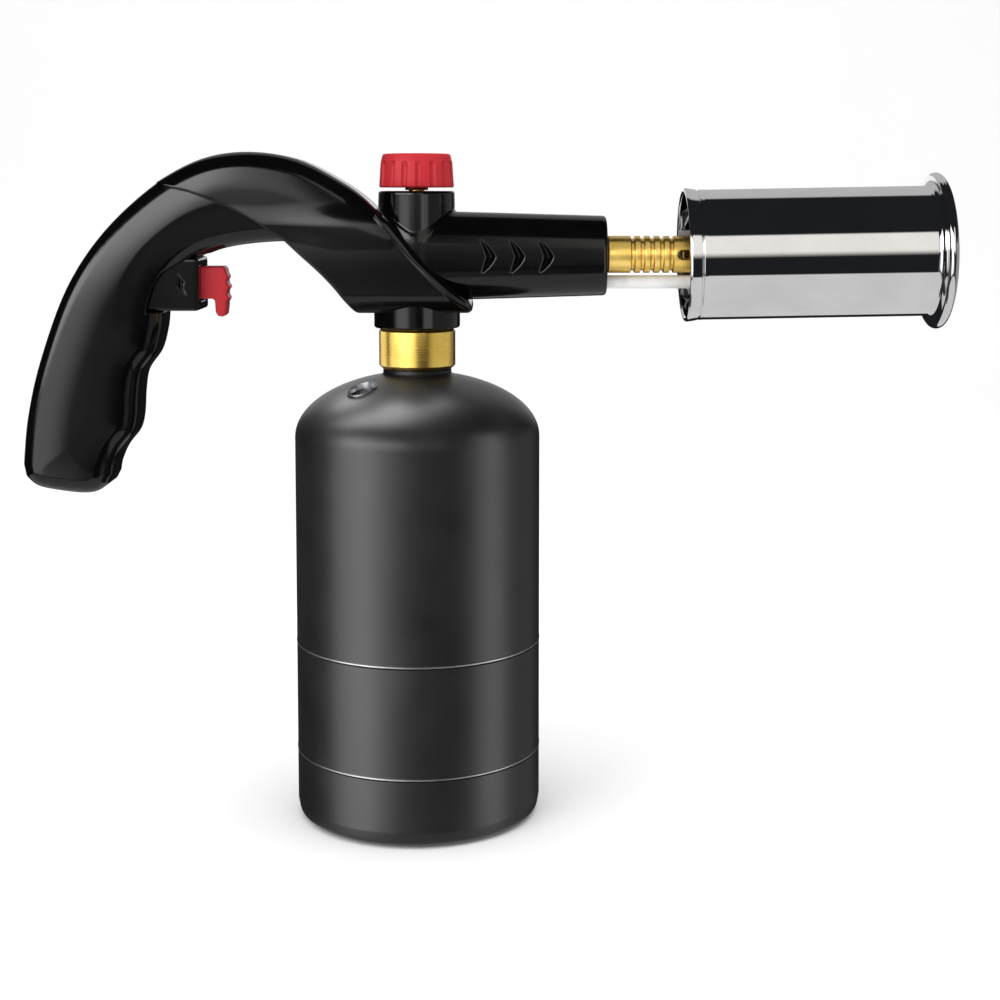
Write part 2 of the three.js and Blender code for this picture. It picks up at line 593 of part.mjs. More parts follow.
const headPivot = new THREE.Vector3(HEAD_TILT.pivot, 0, BURNER_AXIS);
const burnerHead = new THREE.Group();
burnerHead.position.copy(headPivot);
burnerHead.rotation.y = -THREE.MathUtils.degToRad(HEAD_TILT.degrees);
torch.add(burnerHead);

function addTilted(name, shape, look) {
  add(name, shape, look, burnerHead).position.copy(headPivot).negate();
}

const cupHole = rodX(ELECTRODE.tube + 2 * GAP, CUP.back - 2, CUP.back + 6, ELECTRODE.axis);
addTilted("burner_cup",
  turnedAlongX([
    [TUBE.radius + 2 * GAP, CUP.back], [CUP.radius, CUP.back], [CUP.radius, CUP.front],
    [CUP.radius - CUP.wall, CUP.front], [CUP.radius - CUP.wall, CUP.back + CUP.wall],
    [TUBE.radius + 2 * GAP, CUP.back + CUP.wall],
  ], MEDIUM).subtract(cupHole), steel);

function flameHolder() {
  const radius = CUP.radius - CUP.wall - GAP;
  const from = PLATE.back - 1;
  const to = PLATE.front + 1;
  let plate = rodX(radius, PLATE.back, PLATE.front, BURNER_AXIS, MEDIUM);
  plate = plate.subtract(rodX(PLATE.centre, from, to, BURNER_AXIS, 10));
  for (let i = 0; i < PLATE.holes; i += 1) {
    const angle = (FULL_TURN * i) / PLATE.holes - Math.PI / 2;
    const across = PLATE.ring * Math.cos(angle);
    const height = BURNER_AXIS + PLATE.ring * Math.sin(angle);
    plate = plate.subtract(rodX(PLATE.hole, from, to, height, 8).translate([0, across, 0]));
  }
  return plate;
}
addTilted("flame_holder", flameHolder(), steel);

function guardSpider() {
  const inner = CUP.radius + GAP;
  const outer = inner + SPIDER.thickness;
  const reach = GUARD.radius - GUARD.wall - GAP;
  const root = inner + 0.5;
  const length = SPIDER.front - SPIDER.back;
  let spider = turnedAlongX(tube(inner, outer, SPIDER.back, SPIDER.front), MEDIUM);
  for (let i = 0; i < SPIDER.arms; i += 1) {
    const arm = new THREE.BoxGeometry(length, SPIDER.armWidth, reach - root)
      .translate(SPIDER.back + length / 2, 0, (reach + root) / 2)
      .rotateX((FULL_TURN * i) / SPIDER.arms)
      .translate(0, 0, BURNER_AXIS);
    spider = spider.add(solid(arm));
  }
  return spider;
}
addTilted("guard_spider", guardSpider(), steel);

// A thin tube with a rolled bead at the back and a flared, rolled lip at the front.
function flameGuard() {
  const { radius, wall, back, front, lip } = GUARD;
  const inside = radius - wall;
  const bead = 2.4;
  return turnedAlongX([
    [inside - 0.4, back], [radius + 0.4, back], [radius + 0.8, back + 1], [radius + 0.4, back + 2],
    [radius, back + bead], [radius, front - 6.8], [radius + 0.7, front - 4.3], [29.3, front - 2.2],
    [lip, front - 1.6], [lip, front], [28.8, front - 0.3], [26.3, front - 1.8], [inside, front - 4.8],
    [inside, back + bead],
  ], FINE);
}
addTilted("flame_guard", flameGuard(), chrome);

export default torch;
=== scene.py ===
"""A butane torch on its gas cylinder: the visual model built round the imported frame.

Shapes are worked out in millimetres in the frame's own axes: +X the way the flame
points, +Z up, origin at the centre of the cylinder's base. They become metres in
new_mesh(), the one place where a mesh is made.
"""
import json
import math

import bmesh
import bpy
import numpy as np
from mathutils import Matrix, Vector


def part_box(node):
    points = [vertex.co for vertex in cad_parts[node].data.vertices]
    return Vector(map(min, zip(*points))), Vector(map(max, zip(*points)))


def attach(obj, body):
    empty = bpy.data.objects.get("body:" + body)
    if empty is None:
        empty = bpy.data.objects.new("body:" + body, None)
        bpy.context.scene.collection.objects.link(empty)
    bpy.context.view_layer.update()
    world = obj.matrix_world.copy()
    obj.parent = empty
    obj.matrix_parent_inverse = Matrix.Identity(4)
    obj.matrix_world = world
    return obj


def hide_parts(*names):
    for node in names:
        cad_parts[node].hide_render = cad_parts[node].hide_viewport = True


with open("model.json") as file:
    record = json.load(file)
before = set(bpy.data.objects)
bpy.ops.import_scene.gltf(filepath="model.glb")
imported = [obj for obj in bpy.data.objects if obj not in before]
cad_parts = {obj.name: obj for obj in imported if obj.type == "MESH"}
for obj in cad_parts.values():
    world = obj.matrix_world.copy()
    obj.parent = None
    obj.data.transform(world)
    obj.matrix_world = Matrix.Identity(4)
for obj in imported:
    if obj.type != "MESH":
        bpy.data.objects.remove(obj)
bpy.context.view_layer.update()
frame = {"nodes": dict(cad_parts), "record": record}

import openvdb
from mathutils import Matrix, Vector

MM = 0.001
FULL_TURN = 2 * math.pi


def node_box(node):
    """A CAD node's lowest and highest corners in millimetres."""
    low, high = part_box(node)
    return Vector(low) / MM, Vector(high) / MM


# ---- Driving sizes, from the frame ---------------------------------------

upper_low, upper_high = node_box("tank_shell_upper")
TANK_R = upper_high.x
SEAM_Z = upper_low.z
FOOT_Z = node_box("tank_foot_cup")[1].z
DOME_BASE, DOME_RISE = 153.5, 26.0
TANK_WALL = 1.2

NECK_TOP = node_box("tank_neck_boss")[1].z
NECK_R, NECK_BORE, SHOULDER_R, SHOULDER_Z = 12.7, 9.0, 13.7, 180.7
THREAD_PITCH = 1.27

nut_low, nut_high = node_box("collar_nut")
NUT_R, NUT_Z, NUT_TOP = nut_high.x, nut_low.z, 196.9
SPIGOT_R, SPIGOT_TOP = 10.0, nut_high.z

skirt_low, skirt_high = node_box("neck_skirt")
SKIRT_R, SKIRT_Z = skirt_high.x, skirt_low.z

housing_low, housing_high = node_box("barrel_housing")
BARREL_BACK, BARREL_FRONT = housing_low.x, housing_high.x
BARREL_AXIS, BARREL_HALF_BACK, BARREL_HALF_FRONT = 226.0, 18.5, 15.83
TURRET_R, TURRET_TOP = 15.3, housing_high.z
TURRET_HALF_DEPTH = 17.8
GUIDE_X, GUIDE_Z, GUIDE_HALF = -96.3, 215.0, (10.7, 11.6, 10.6)

BURNER_AXIS = 226.4
GUARD_BACK, GUARD_FRONT, GUARD_R, GUARD_LIP = 106.6, 209.2, 26.0, 31.2
HEAD_TILT = Matrix.Rotation(math.radians(-1), 4, "Y")   # the burner head points a little upwards
HEAD_PIVOT = Vector((122, 0, BURNER_AXIS)) * MM

TUBE_BACK, TUBE_FRONT = node_box("mixing_tube")[0].x, node_box("mixing_tube")[1].x
TUBE_R = 7.4
ceramic_low, ceramic_high = node_box("electrode_tube")
CERAMIC_AXIS = (ceramic_low.z + ceramic_high.z) / 2
CERAMIC_R = (ceramic_high.z - ceramic_low.z) / 2

# ---- Side outlines, (x, z) in millimetres --------------------------------

HANDLE_SPINE = [
    (-157, 143.2), (-154.9, 162), (-149.4, 184.6), (-138.3, 213.6), (-123, 236), (-102.3, 254.7),
    (-84, 264.2), (-65.5, 267), (-46, 264), (-28.5, 255.1), (-15, 245.6), (-8, 239),
]
HANDLE_UNDER = [
    (-4, 230), (-20, 230.5), (-40, 231.8), (-57.9, 231.6), (-73.9, 229.6), (-85, 226),
    (-94, 219.3), (-98.4, 212), (-100.2, 204.5), (-101, 197.5), (-103.6, 188), (-109, 180),
    (-110.6, 171.7), (-111.3, 162), (-113, 155.4), (-117.9, 148.9), (-120.8, 142.4), (-121.5, 138.5),
]
POCKET = [
    (-85, 226.5), (-94, 222.6), (-99.5, 219.5), (-103.3, 214), (-105.6, 206.5), (-106, 204.2),
    (-80, 204.2), (-80, 226.5),
]
HANDLE_FOOT = [
    (-123.3, 135), (-128, 132), (-134.5, 131.4), (-146, 132.9), (-152, 134.6), (-156, 138.2),
]

COVER_TOP = [(-15.5, 244.8), (-28.5, 256.5), (-46, 266), (-65.5, 269), (-84, 266), (-102.9, 254.9)]
SWEEP_UPPER = [(-88.5, 251.4), (-76.1, 246.5), (-64.8, 241.2), (-50.7, 232)]
SWEEP_LOWER = [(-43.9, 225.7), (-37.9, 220.3), (-32, 214.2), (-27.2, 208.2), (-22, 202)]
LIP_EDGE = [
    (21.4, 202), (22.4, 205.2), (21.2, 208.1), (15.1, 212.8), (9.9, 217.3), (4.1, 222.8),
    (-2, 229.9), (-8.8, 238.3), (-12.3, 242.4),
]
LIP_BEAD = [
    (20.6, 206.5), (16.4, 209.2), (11.2, 213.7), (4.1, 220.2), (-3.6, 227.9), (-10.1, 235.9), (-15, 242),
]

TRIGGER_OUTLINE = [
    (-90, 208.8), (-81.3, 208.8), (-80.5, 208), (-80.2, 203.4), (-79.2, 201.9), (-77.4, 201.6),
    (-76.1, 202.6), (-75.7, 205.4), (-75.6, 207.6), (-74.7, 209.1), (-75.5, 210.7), (-75.5, 212),
    (-74.5, 213.6), (-75.5, 215.2), (-75.6, 216.4), (-74.9, 217.6), (-75.7, 219.2), (-76, 220.9),
    (-77, 221.8), (-90, 221.8),
]
BOLT_PLACE = (-92.3, 215.3)
BOLT_RECESS = [
    (-1.8, 4.5), (0.1, 1.5), (1.3, 0.6), (0.6, -0.6), (0.7, -1.9), (2.1, -4.7),
    (-0.6, -2.1), (-1.8, -0.8), (-1.3, 0.2),
]


def spline(points, per_span=6):
    """A Catmull-Rom curve through the points."""
    ends = [points[0]] + list(points) + [points[-1]]
    curve = []
    for i in range(len(points) - 1):
        p0, p1, p2, p3 = (np.array(ends[i + k], float) for k in range(4))
        for step in range(per_span):
            t = step / per_span
            curve.append(0.5 * (2 * p1 + (p2 - p0) * t + (2 * p0 - 5 * p1 + 4 * p2 - p3) * t ** 2
                                + (3 * p1 - p0 - 3 * p2 + p3) * t ** 3))
    curve.append(np.array(points[-1], float))
    return curve


HANDLE_OUTLINE = spline(HANDLE_SPINE) + spline(HANDLE_UNDER) + spline(HANDLE_FOOT, 4)
COVER_REGION = spline(COVER_TOP) + spline(SWEEP_UPPER) + spline(SWEEP_LOWER) + spline(LIP_EDGE)

# ---- Materials -----------------------------------------------------------


def new_material(name, color, roughness, metallic=0.0, **sockets):
    """A Principled material, its node tree and its shader."""
    material = bpy.data.materials.new(name)
    material.use_nodes = True
    shader = material.node_tree.nodes["Principled BSDF"]
    shader.inputs["Base Color"].default_value = (*color, 1)
    shader.inputs["Roughness"].default_value = roughness
    shader.inputs["Metallic"].default_value = metallic
    for socket, value in sockets.items():
        shader.inputs[socket.replace("_", " ")].default_value = value
    return material, material.node_tree, shader


def noise(tree, scale, detail=3.0, stretch=(1, 1, 1)):
    """A noise texture in the object's own metres, stretched along the axes."""
    place = tree.nodes.new("ShaderNodeTexCoord")
    mapping = tree.nodes.new("ShaderNodeMapping")
    mapping.inputs["Scale"].default_value = stretch
    texture = tree.nodes.new("ShaderNodeTexNoise")
    texture.inputs["Scale"].default_value = scale
    texture.inputs["Detail"].default_value = detail
    tree.links.new(place.outputs["Object"], mapping.inputs["Vector"])
    tree.links.new(mapping.outputs["Vector"], texture.inputs["Vector"])
    return texture.outputs["Fac"]


def remap(tree, value, from_low, from_high, to_low, to_high, curve="LINEAR"):
    """Maps a value from one range onto another."""
    node = tree.nodes.new("ShaderNodeMapRange")
    node.interpolation_type = curve
    limits = (from_low, from_high, to_low, to_high)
    for socket, limit in zip(("From Min", "From Max", "To Min", "To Max"), limits):
        node.inputs[socket].default_value = limit
    tree.links.new(value, node.inputs["Value"])
    return node.outputs["Result"]


def tint(tree, value, dark, light):
    """A colour that runs from dark to light with a noise value."""
    ramp = tree.nodes.new("ShaderNodeValToRGB")
    ramp.color_ramp.elements[0].position = 0.35
    ramp.color_ramp.elements[0].color = (*dark, 1)
    ramp.color_ramp.elements[1].position = 0.65
    ramp.color_ramp.elements[1].color = (*light, 1)
    tree.links.new(value, ramp.inputs["Fac"])
    return ramp.outputs["Color"]


def vary_color(tree, shader, scale, dark, light):
    tree.links.new(tint(tree, noise(tree, scale), dark, light), shader.inputs["Base Color"])


def vary_roughness(tree, shader, value, low, high):
    tree.links.new(remap(tree, value, 0.3, 0.7, low, high), shader.inputs["Roughness"])


def bump(tree, shader, height, strength, distance):
    """Roughens the surface with a noise value, in metres."""
    node = tree.nodes.new("ShaderNodeBump")
    node.inputs["Strength"].default_value = strength
    node.inputs["Distance"].default_value = distance
    tree.links.new(height, node.inputs["Height"])
    tree.links.new(node.outputs["Normal"], shader.inputs["Normal"])


def powder_coat():
    """Satin black paint with the fine orange peel of powder coat."""
    material, tree, shader = new_material("powder_coat", (0.005, 0.005, 0.0055), 0.42)
    peel = noise(tree, 1400, 2)
    vary_color(tree, shader, 30, (0.0035, 0.0035, 0.004), (0.0055, 0.0055, 0.006))
    vary_roughness(tree, shader, noise(tree, 60), 0.35, 0.40)
    bump(tree, shader, peel, 0.12, 0.00005)
    return material


def gloss_plastic(name, dark, light, rough_low, rough_high, shine=0.5):
    """Polished moulding: a slight cloudiness in its gloss, and very fine flow marks."""
    material, tree, shader = new_material(name, light, rough_high, Specular_IOR_Level=shine)
    vary_color(tree, shader, 45, dark, light)
    vary_roughness(tree, shader, noise(tree, 25), rough_low, rough_high)
    bump(tree, shader, noise(tree, 900, 2), 0.04, 0.00003)
    return material


def turned_metal(name, dark, light, rough_low, rough_high, along, marks=0.10):
    """Machined metal with fine tool rings across the given axis and faint tarnish."""
    material, tree, shader = new_material(name, light, rough_high, 1.0)
    stretch = [40.0, 40.0, 40.0]
    stretch["XYZ".index(along)] = 6000.0
    rings = noise(tree, 1, 2, stretch)
    vary_color(tree, shader, 120, dark, light)
    vary_roughness(tree, shader, rings, rough_low, rough_high)
    bump(tree, shader, rings, marks, 0.00003)
    return material


def mirror_chrome():
    """Plated steel: mirror bright, with the faintest ripple from the rolled tube under it."""
    material, tree, shader = new_material("mirror_chrome", (0.86, 0.86, 0.87), 0.03, 1.0)
    vary_color(tree, shader, 60, (0.82, 0.82, 0.83), (0.88, 0.88, 0.885))
    vary_roughness(tree, shader, noise(tree, 220), 0.025, 0.05)
    bump(tree, shader, noise(tree, 28, 2, (0.25, 1, 1)), 0.05, 0.0004)
    return material


def fired_ceramic():
    material, tree, shader = new_material(
        "fired_ceramic", (0.88, 0.88, 0.86), 0.35, Subsurface_Weight=0.15, Subsurface_Scale=0.002)
    vary_color(tree, shader, 300, (0.84, 0.84, 0.82), (0.92, 0.92, 0.91))
    vary_roughness(tree, shader, noise(tree, 500), 0.28, 0.42)
    bump(tree, shader, noise(tree, 2500, 2), 0.08, 0.00002)
    return material


def dull_rubber(name, shade):
    material, tree, shader = new_material(name, (shade, shade, shade), 0.7)
    vary_color(tree, shader, 200, (shade * 0.8,) * 3, (shade * 1.2,) * 3)
    vary_roughness(tree, shader, noise(tree, 400), 0.6, 0.8)
    bump(tree, shader, noise(tree, 3000, 2), 0.2, 0.00005)
    return material


PAINT = powder_coat()
BLACK = gloss_plastic(
    "black_gloss_plastic", (0.0010, 0.0010, 0.0012), (0.0016, 0.0016, 0.0019), 0.12, 0.16)
RED = gloss_plastic("red_plastic", (0.44, 0.018, 0.026), (0.50, 0.025, 0.035), 0.30, 0.38, 0.25)
BRASS_UP = turned_metal("turned_brass_upright", (0.82, 0.55, 0.11), (0.92, 0.65, 0.16), 0.22, 0.30, "Z")
BRASS_LYING = turned_metal("turned_brass_lying", (0.82, 0.55, 0.13), (0.92, 0.64, 0.19), 0.24, 0.34, "X")
CHROME = mirror_chrome()
STEEL = turned_metal("machined_steel", (0.45, 0.46, 0.48), (0.58, 0.59, 0.61), 0.25, 0.40, "Z")
# A much darker steel, used for the relief valve's retainer and poppet, which sit down in its hole.
DARK_VALVE_STEEL = turned_metal("dark_valve_steel", (0.10, 0.10, 0.105), (0.20, 0.20, 0.205), 0.30, 0.45, "Z")
BURNER_STEEL = turned_metal("burner_steel", (0.34, 0.33, 0.32), (0.50, 0.49, 0.47), 0.28, 0.45, "X", 0.2)
# The seam rims' lighter metal is a painted highlight: it stands in for the light line each seam catches.
# The rim under it is real.
SEAM_HIGHLIGHT_METAL = turned_metal("seam_rim_painted_highlight", (0.30, 0.30, 0.31), (0.40, 0.40, 0.41), 0.34, 0.46, "Z")
CERAMIC = fired_ceramic()
RUBBER = dull_rubber("dull_rubber", 0.02)
INSULATION = dull_rubber("wire_insulation", 0.035)

SLOT_LOOKS = {
    "black_paint": PAINT, "black_plastic": BLACK, "red_plastic": RED, "brass": BRASS_UP, "chrome": CHROME,
    "steel": STEEL, "ceramic": CERAMIC, "rubber": RUBBER, "insulation": INSULATION,
}

# ---- Making pieces -------------------------------------------------------


def new_mesh(name, points, faces, materials, face_materials=None):
    """The one place where millimetres become metres."""
    mesh = bpy.data.meshes.new(name)
    mesh.from_pydata((np.asarray(points, float) * MM).tolist(), [], faces)
    for material in materials:
        mesh.materials.append(material)
    if face_materials is not None:
        mesh.polygons.foreach_set("material_index", face_materials)
    mesh.update()
    piece = bpy.data.objects.new(name, mesh)
    bpy.context.scene.collection.objects.link(piece)
    return piece


def settle(piece, body, nodes):
    """Every piece rides on a body and stands for its CAD nodes, which it hides."""
    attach(piece, body)
    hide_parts(*nodes)
    return piece


def rounded(profile, steps=5):
    """A profile of (radius, height) or (radius, height, fillet) corners, its fillets made arcs."""
    result = []
    count = len(profile)
    for i, corner in enumerate(profile):
        here = np.array(corner[:2], float)
        fillet = corner[2] if len(corner) > 2 else 0.0
        if fillet == 0:
            result.append(here)
            continue
        before = np.array(profile[i - 1][:2], float) - here
        after = np.array(profile[(i + 1) % count][:2], float) - here
        before /= np.linalg.norm(before)
        after /= np.linalg.norm(after)
        opening = math.acos(np.clip(before @ after, -1, 1))
        reach = fillet / math.tan(opening / 2)
        centre = here + (before + after) / np.linalg.norm(before + after) * fillet / math.sin(opening / 2)
        start = here + before * reach - centre
        end = here + after * reach - centre
        sweep = math.pi - opening
        for step in range(steps + 1):
            share = step / steps
            a = math.sin((1 - share) * sweep) / math.sin(sweep)
            b = math.sin(share * sweep) / math.sin(sweep)
            result.append(centre + start * a + end * b)
    return result


def lathe(name, profile, materials, axis="Z", height=0.0, segments=128, picker=None, sharp=35, dent=None):
    """Turns a profile about the Z axis, or about a line along X at the given height.
    Points on the axis close it there; any other profile closes on itself. A picker
    chooses each ring's material, and dent says how far a point is pressed inwards."""
    points = [np.array(p[:2], float) for p in profile]
    on_axis = [abs(p[0]) < 1e-6 for p in points]
    vertices, rings = [], []
    for point, single in zip(points, on_axis):
        rings.append(len(vertices))
        for i in range(1 if single else segments):
            angle = FULL_TURN * i / segments
            radius = point[0] - (dent(*point, angle) if dent else 0)
            across, up = radius * math.cos(angle), radius * math.sin(angle)
            if axis == "Z":
                vertices.append((across, up, point[1]))
            else:
                vertices.append((point[1], across, height + up))
    faces, marks = [], []
    count = len(points)
    for i in range(count):
        j = (i + 1) % count
        if on_axis[i] and on_axis[j]:
            continue
        mark = picker(points[i], points[j]) if picker else 0
        for k in range(segments):
            nxt = (k + 1) % segments
            if on_axis[i]:
                face = (rings[i], rings[j] + nxt, rings[j] + k)
            elif on_axis[j]:
                face = (rings[i] + k, rings[i] + nxt, rings[j])
            else:
                face = (rings[i] + k, rings[i] + nxt, rings[j] + nxt, rings[j] + k)
            faces.append(face)
            marks.append(mark)
    piece = new_mesh(name, vertices, faces, materials, marks)
    face_outwards(piece)
    smooth_shade(piece, sharp)
    return piece


def face_outwards(piece):
    """Turns every face of a closed mesh outwards."""
    body = bmesh.new()
    body.from_mesh(piece.data)
    bmesh.ops.recalc_face_normals(body, faces=body.faces)
    if body.calc_volume(signed=True) < 0:
        bmesh.ops.reverse_faces(body, faces=body.faces)
    body.to_mesh(piece.data)
    body.free()


def smooth_shade(piece, sharp=35):
    piece.data.shade_smooth()
    piece.data.set_sharp_from_angle(angle=math.radians(sharp))


def cut(piece, cutters, sharp=35):
    """Cuts closed pieces out of another and removes them."""
    for cutter in cutters:
        modifier = piece.modifiers.new("cut", "BOOLEAN")
        modifier.operation = "DIFFERENCE"
        modifier.solver = "EXACT"
        modifier.object = cutter
    ready = piece.evaluated_get(bpy.context.evaluated_depsgraph_get())
    mesh = bpy.data.meshes.new_from_object(ready)
    piece.modifiers.clear()
    piece.data = mesh
    smooth_shade(piece, sharp)
    for cutter in cutters:
        bpy.data.objects.remove(cutter)
    return piece


def rod(name, radius, start, end, axis="Z", height=0.0, segments=48):
    return lathe(name, [(0, start), (radius, start), (radius, end), (0, end)], [], axis, height, segments)


# ---- Fields: shapes given by their distance in millimetres ---------------


class Grid:
    """The sample points of a field."""

    def __init__(self, low, high, step):
        self.low, self.step = np.array(low, float), step
        counts = [int(math.ceil((b - a) / step)) + 1 for a, b in zip(low, high)]
        x, y, z = (self.low[i] + step * np.arange(counts[i]) for i in range(3))
        self.x, self.y, self.z = x[:, None, None], y[None, :, None], z[None, None, :]

    def curve(self, points):
        """Distance from an open curve in the XZ plane."""
        px, pz = np.broadcast_arrays(self.x, self.z)
        nearest = np.full(px.shape, 1e9)
        for (ax, az), (bx, bz) in zip(points, points[1:]):
            ex, ez = bx - ax, bz - az
            length = ex * ex + ez * ez
            if length < 1e-9:
                continue
            t = np.clip(((px - ax) * ex + (pz - az) * ez) / length, 0, 1)
            nearest = np.minimum(nearest, (px - ax - ex * t) ** 2 + (pz - az - ez * t) ** 2)
        return np.sqrt(nearest)

    def outline(self, points):
        """Distance from a closed outline in the XZ plane, negative inside it."""
        closed = list(points) + [points[0]]
        px, pz = np.broadcast_arrays(self.x, self.z)
        inside = np.zeros(px.shape, bool)
        for (ax, az), (bx, bz) in zip(closed, closed[1:]):
            if az != bz:
                inside ^= ((az > pz) != (bz > pz)) & (px < (bx - ax) * (pz - az) / (bz - az) + ax)
        return np.where(inside, -1, 1) * self.curve(closed)


def both(a, b):
    """The overlap of two fields."""
    return np.maximum(a, b)


def either(a, b, blend):
    """Two fields as one, flowing into each other where they meet."""
    h = np.clip(0.5 + 0.5 * (b - a) / blend, 0, 1)
    return b + (a - b) * h - blend * h * (1 - h)


def rounded_both(a, b, radius):
    """The overlap of two fields with the edge between them rounded."""
    inside = np.minimum(np.maximum(a, b) + radius, 0)
    return inside + np.hypot(np.maximum(a + radius, 0), np.maximum(b + radius, 0)) - radius


def ease(value, start, end):
    t = np.clip((value - start) / (end - start), 0, 1)
    return t * t * (3 - 2 * t)


def field_piece(name, field, grid, material, mirror=False):
    """Meshes a field where it is zero, then draws each vertex and its normal onto the true surface."""
    volume = openvdb.FloatGrid(8 * grid.step)
    volume.copyFromArray(np.ascontiguousarray(field, dtype=np.float32))
    points, quads = volume.convertToQuads(isovalue=0.0)
    points = np.asarray(points, float)
    quads = np.asarray(quads, int)
    slopes = np.gradient(field)
    for _ in range(2):
        slope = np.stack([sample(s, points) for s in slopes], axis=1)
        size = np.maximum((slope ** 2).sum(axis=1), 1e-6)
        points -= slope * np.clip(sample(field, points) / size, -0.4, 0.4)[:, None]
    normals = np.stack([sample(s, points) for s in slopes], axis=1)
    normals /= np.maximum(np.linalg.norm(normals, axis=1), 1e-9)[:, None]
    points = points * grid.step + grid.low
    if mirror:
        points[:, 1] *= -1
        normals[:, 1] *= -1
        quads = quads[:, ::-1]
    piece = new_mesh(name, points, quads.tolist(), [material])
    piece.data.shade_smooth()
    piece.data.normals_split_custom_set_from_vertices(normals.tolist())
    return piece


def sample(field, points):
    """A field's value between its sample points."""
    top = np.array(field.shape) - 2
    base = np.clip(np.floor(points).astype(int), 0, top)
    f = points - base
    total = 0.0
    for dx in (0, 1):
        for dy in (0, 1):
            for dz in (0, 1):
                weight = ((f[:, 0] if dx else 1 - f[:, 0]) * (f[:, 1] if dy else 1 - f[:, 1])
                          * (f[:, 2] if dz else 1 - f[:, 2]))
                total = total + weight * field[base[:, 0] + dx, base[:, 1] + dy, base[:, 2] + dz]
    return total


# ---- Gas cylinder --------------------------------------------------------


def dome(inset, last_radius, steps=40):
    """The elliptical shoulder from the wall up to a radius."""
    wide, rise = TANK_R - inset, DOME_RISE - inset
    last = math.acos(last_radius / wide)
    angles = [last * i / steps for i in range(steps + 1)]
    return [(wide * math.cos(a), DOME_BASE + rise * math.sin(a)) for a in angles]


RELIEF_NORMAL = Vector((-0.25734, -0.26231, 0.93004))
RELIEF_POINT = Vector((-20.7, -21.1, 174.31))
RELIEF_TURN = RELIEF_NORMAL.to_track_quat("Z", "Y").to_matrix().to_4x4()
RELIEF_PLACE = Matrix.Translation(RELIEF_POINT * MM) @ RELIEF_TURN
SEAM_EDGE = 0.6      # the height of the rim at each seam of the cylinder, coloured a lighter metal as a painted highlight
SKIN = 0.14          # how far the paint of the shells lies inside that edge


def seam_highlight_faces(seam):
    """Picks the lighter metal, a painted highlight for the light line along each seam, for the faces of
    the rim that stands on a seam.
    """
    def pick(a, b):
        radius, height = (a + b) / 2
        return int(seam - 0.05 <= height <= seam + SEAM_EDGE + 0.1 and radius > TANK_R - 0.9)
    return pick


def upper_shell():
    inner = TANK_R - TANK_WALL
    profile = rounded([
        (inner, SEAM_Z), (TANK_R, SEAM_Z, 0.25), (TANK_R, SEAM_Z + SEAM_EDGE, 0.2),
        (TANK_R - SKIN, SEAM_Z + SEAM_EDGE + 0.4, 0.3), (TANK_R - SKIN, SEAM_Z + 20),
    ]) + dome(SKIN, NECK_R) + dome(TANK_WALL, NECK_R)[::-1]
    looks = [PAINT, SEAM_HIGHLIGHT_METAL]
    shell = lathe("cylinder_upper_shell", profile, looks, segments=192, picker=seam_highlight_faces(SEAM_Z))
    hole = rod("relief_hole", 6.0, -6, 6)
    hole.data.transform(RELIEF_PLACE)
    return cut(shell, [hole])


def lower_shell():
    inner = TANK_R - TANK_WALL
    top = SEAM_Z - 0.3
    foot = FOOT_Z + 0.3
    return lathe("cylinder_lower_shell", rounded([
        (inner - 2, foot - 1), (TANK_R - 0.4, foot), (TANK_R, foot, 0.25), (TANK_R, foot + SEAM_EDGE, 0.2),
        (TANK_R - SKIN, foot + SEAM_EDGE + 0.4, 0.3), (TANK_R - SKIN, top - 0.1, 0.3), (TANK_R - 0.8, top),
        (inner - 0.3, top), (inner - 0.3, top + 8, 0.4), (inner - 1.5, top + 8, 0.4),
        (inner - 2, foot + 4),
    ]), [PAINT, SEAM_HIGHLIGHT_METAL], segments=192, picker=seam_highlight_faces(foot))


def foot_cup():
    dish = 1.2
    return lathe("cylinder_foot_cup", rounded([
        (0, dish), (34, dish, 6), (39, 0, 4), (TANK_R - 5, 0, 3), (TANK_R - 1.0, 1.6, 3.2),
        (TANK_R - SKIN, 6.5, 4), (TANK_R - SKIN, FOOT_Z - 0.1, 0.3), (TANK_R - 0.8, FOOT_Z),
        (TANK_R - 2.4, FOOT_Z), (TANK_R - 2.4, 7, 3), (TANK_R - 8, 2.4, 3), (0, dish + 1.2),
    ], 8), [PAINT], segments=192)


def thread(name, outer, bottom, top, material, core):
    """A screw thread: one ridge that climbs a pitch each turn, fading out at both ends."""
    around, up = 96, 6
    rows = int((top - bottom) / THREAD_PITCH * up)
    vertices, faces = [], []
    for row in range(rows + 1):
        z = bottom + (top - bottom) * row / rows
        fade = min(1, (z - bottom) / THREAD_PITCH, (top - z) / THREAD_PITCH)
        for i in range(around):
            phase = (z / THREAD_PITCH - i / around) % 1
            ridge = 1 - abs(2 * phase - 1)
            radius = core + (outer - core) * (ease(ridge, 0.1, 0.9) * fade)
            angle = FULL_TURN * i / around
            vertices.append((radius * math.cos(angle), radius * math.sin(angle), z))
    for row in range(rows):
        low, high = row * around, (row + 1) * around
        for i in range(around):
            nxt = (i + 1) % around
            faces.append((low + i, low + nxt, high + nxt, high + i))
    faces.append(tuple(range(around))[::-1])
    faces.append(tuple(rows * around + i for i in range(around)))
    piece = new_mesh(name, vertices, faces, [material])
    smooth_shade(piece, 50)
    return piece


settle(upper_shell(), "cylinder", ["tank_shell_upper"])
settle(lower_shell(), "cylinder", ["tank_shell_lower"])
settle(foot_cup(), "cylinder", ["tank_foot_cup"])


def painted_foot(a, b):
    """Picks the paint for the outside of the neck below its thread."""
    radius, height = (a + b) / 2
    return int(height <= SHOULDER_Z + 0.1 and radius > NECK_R - 0.7)


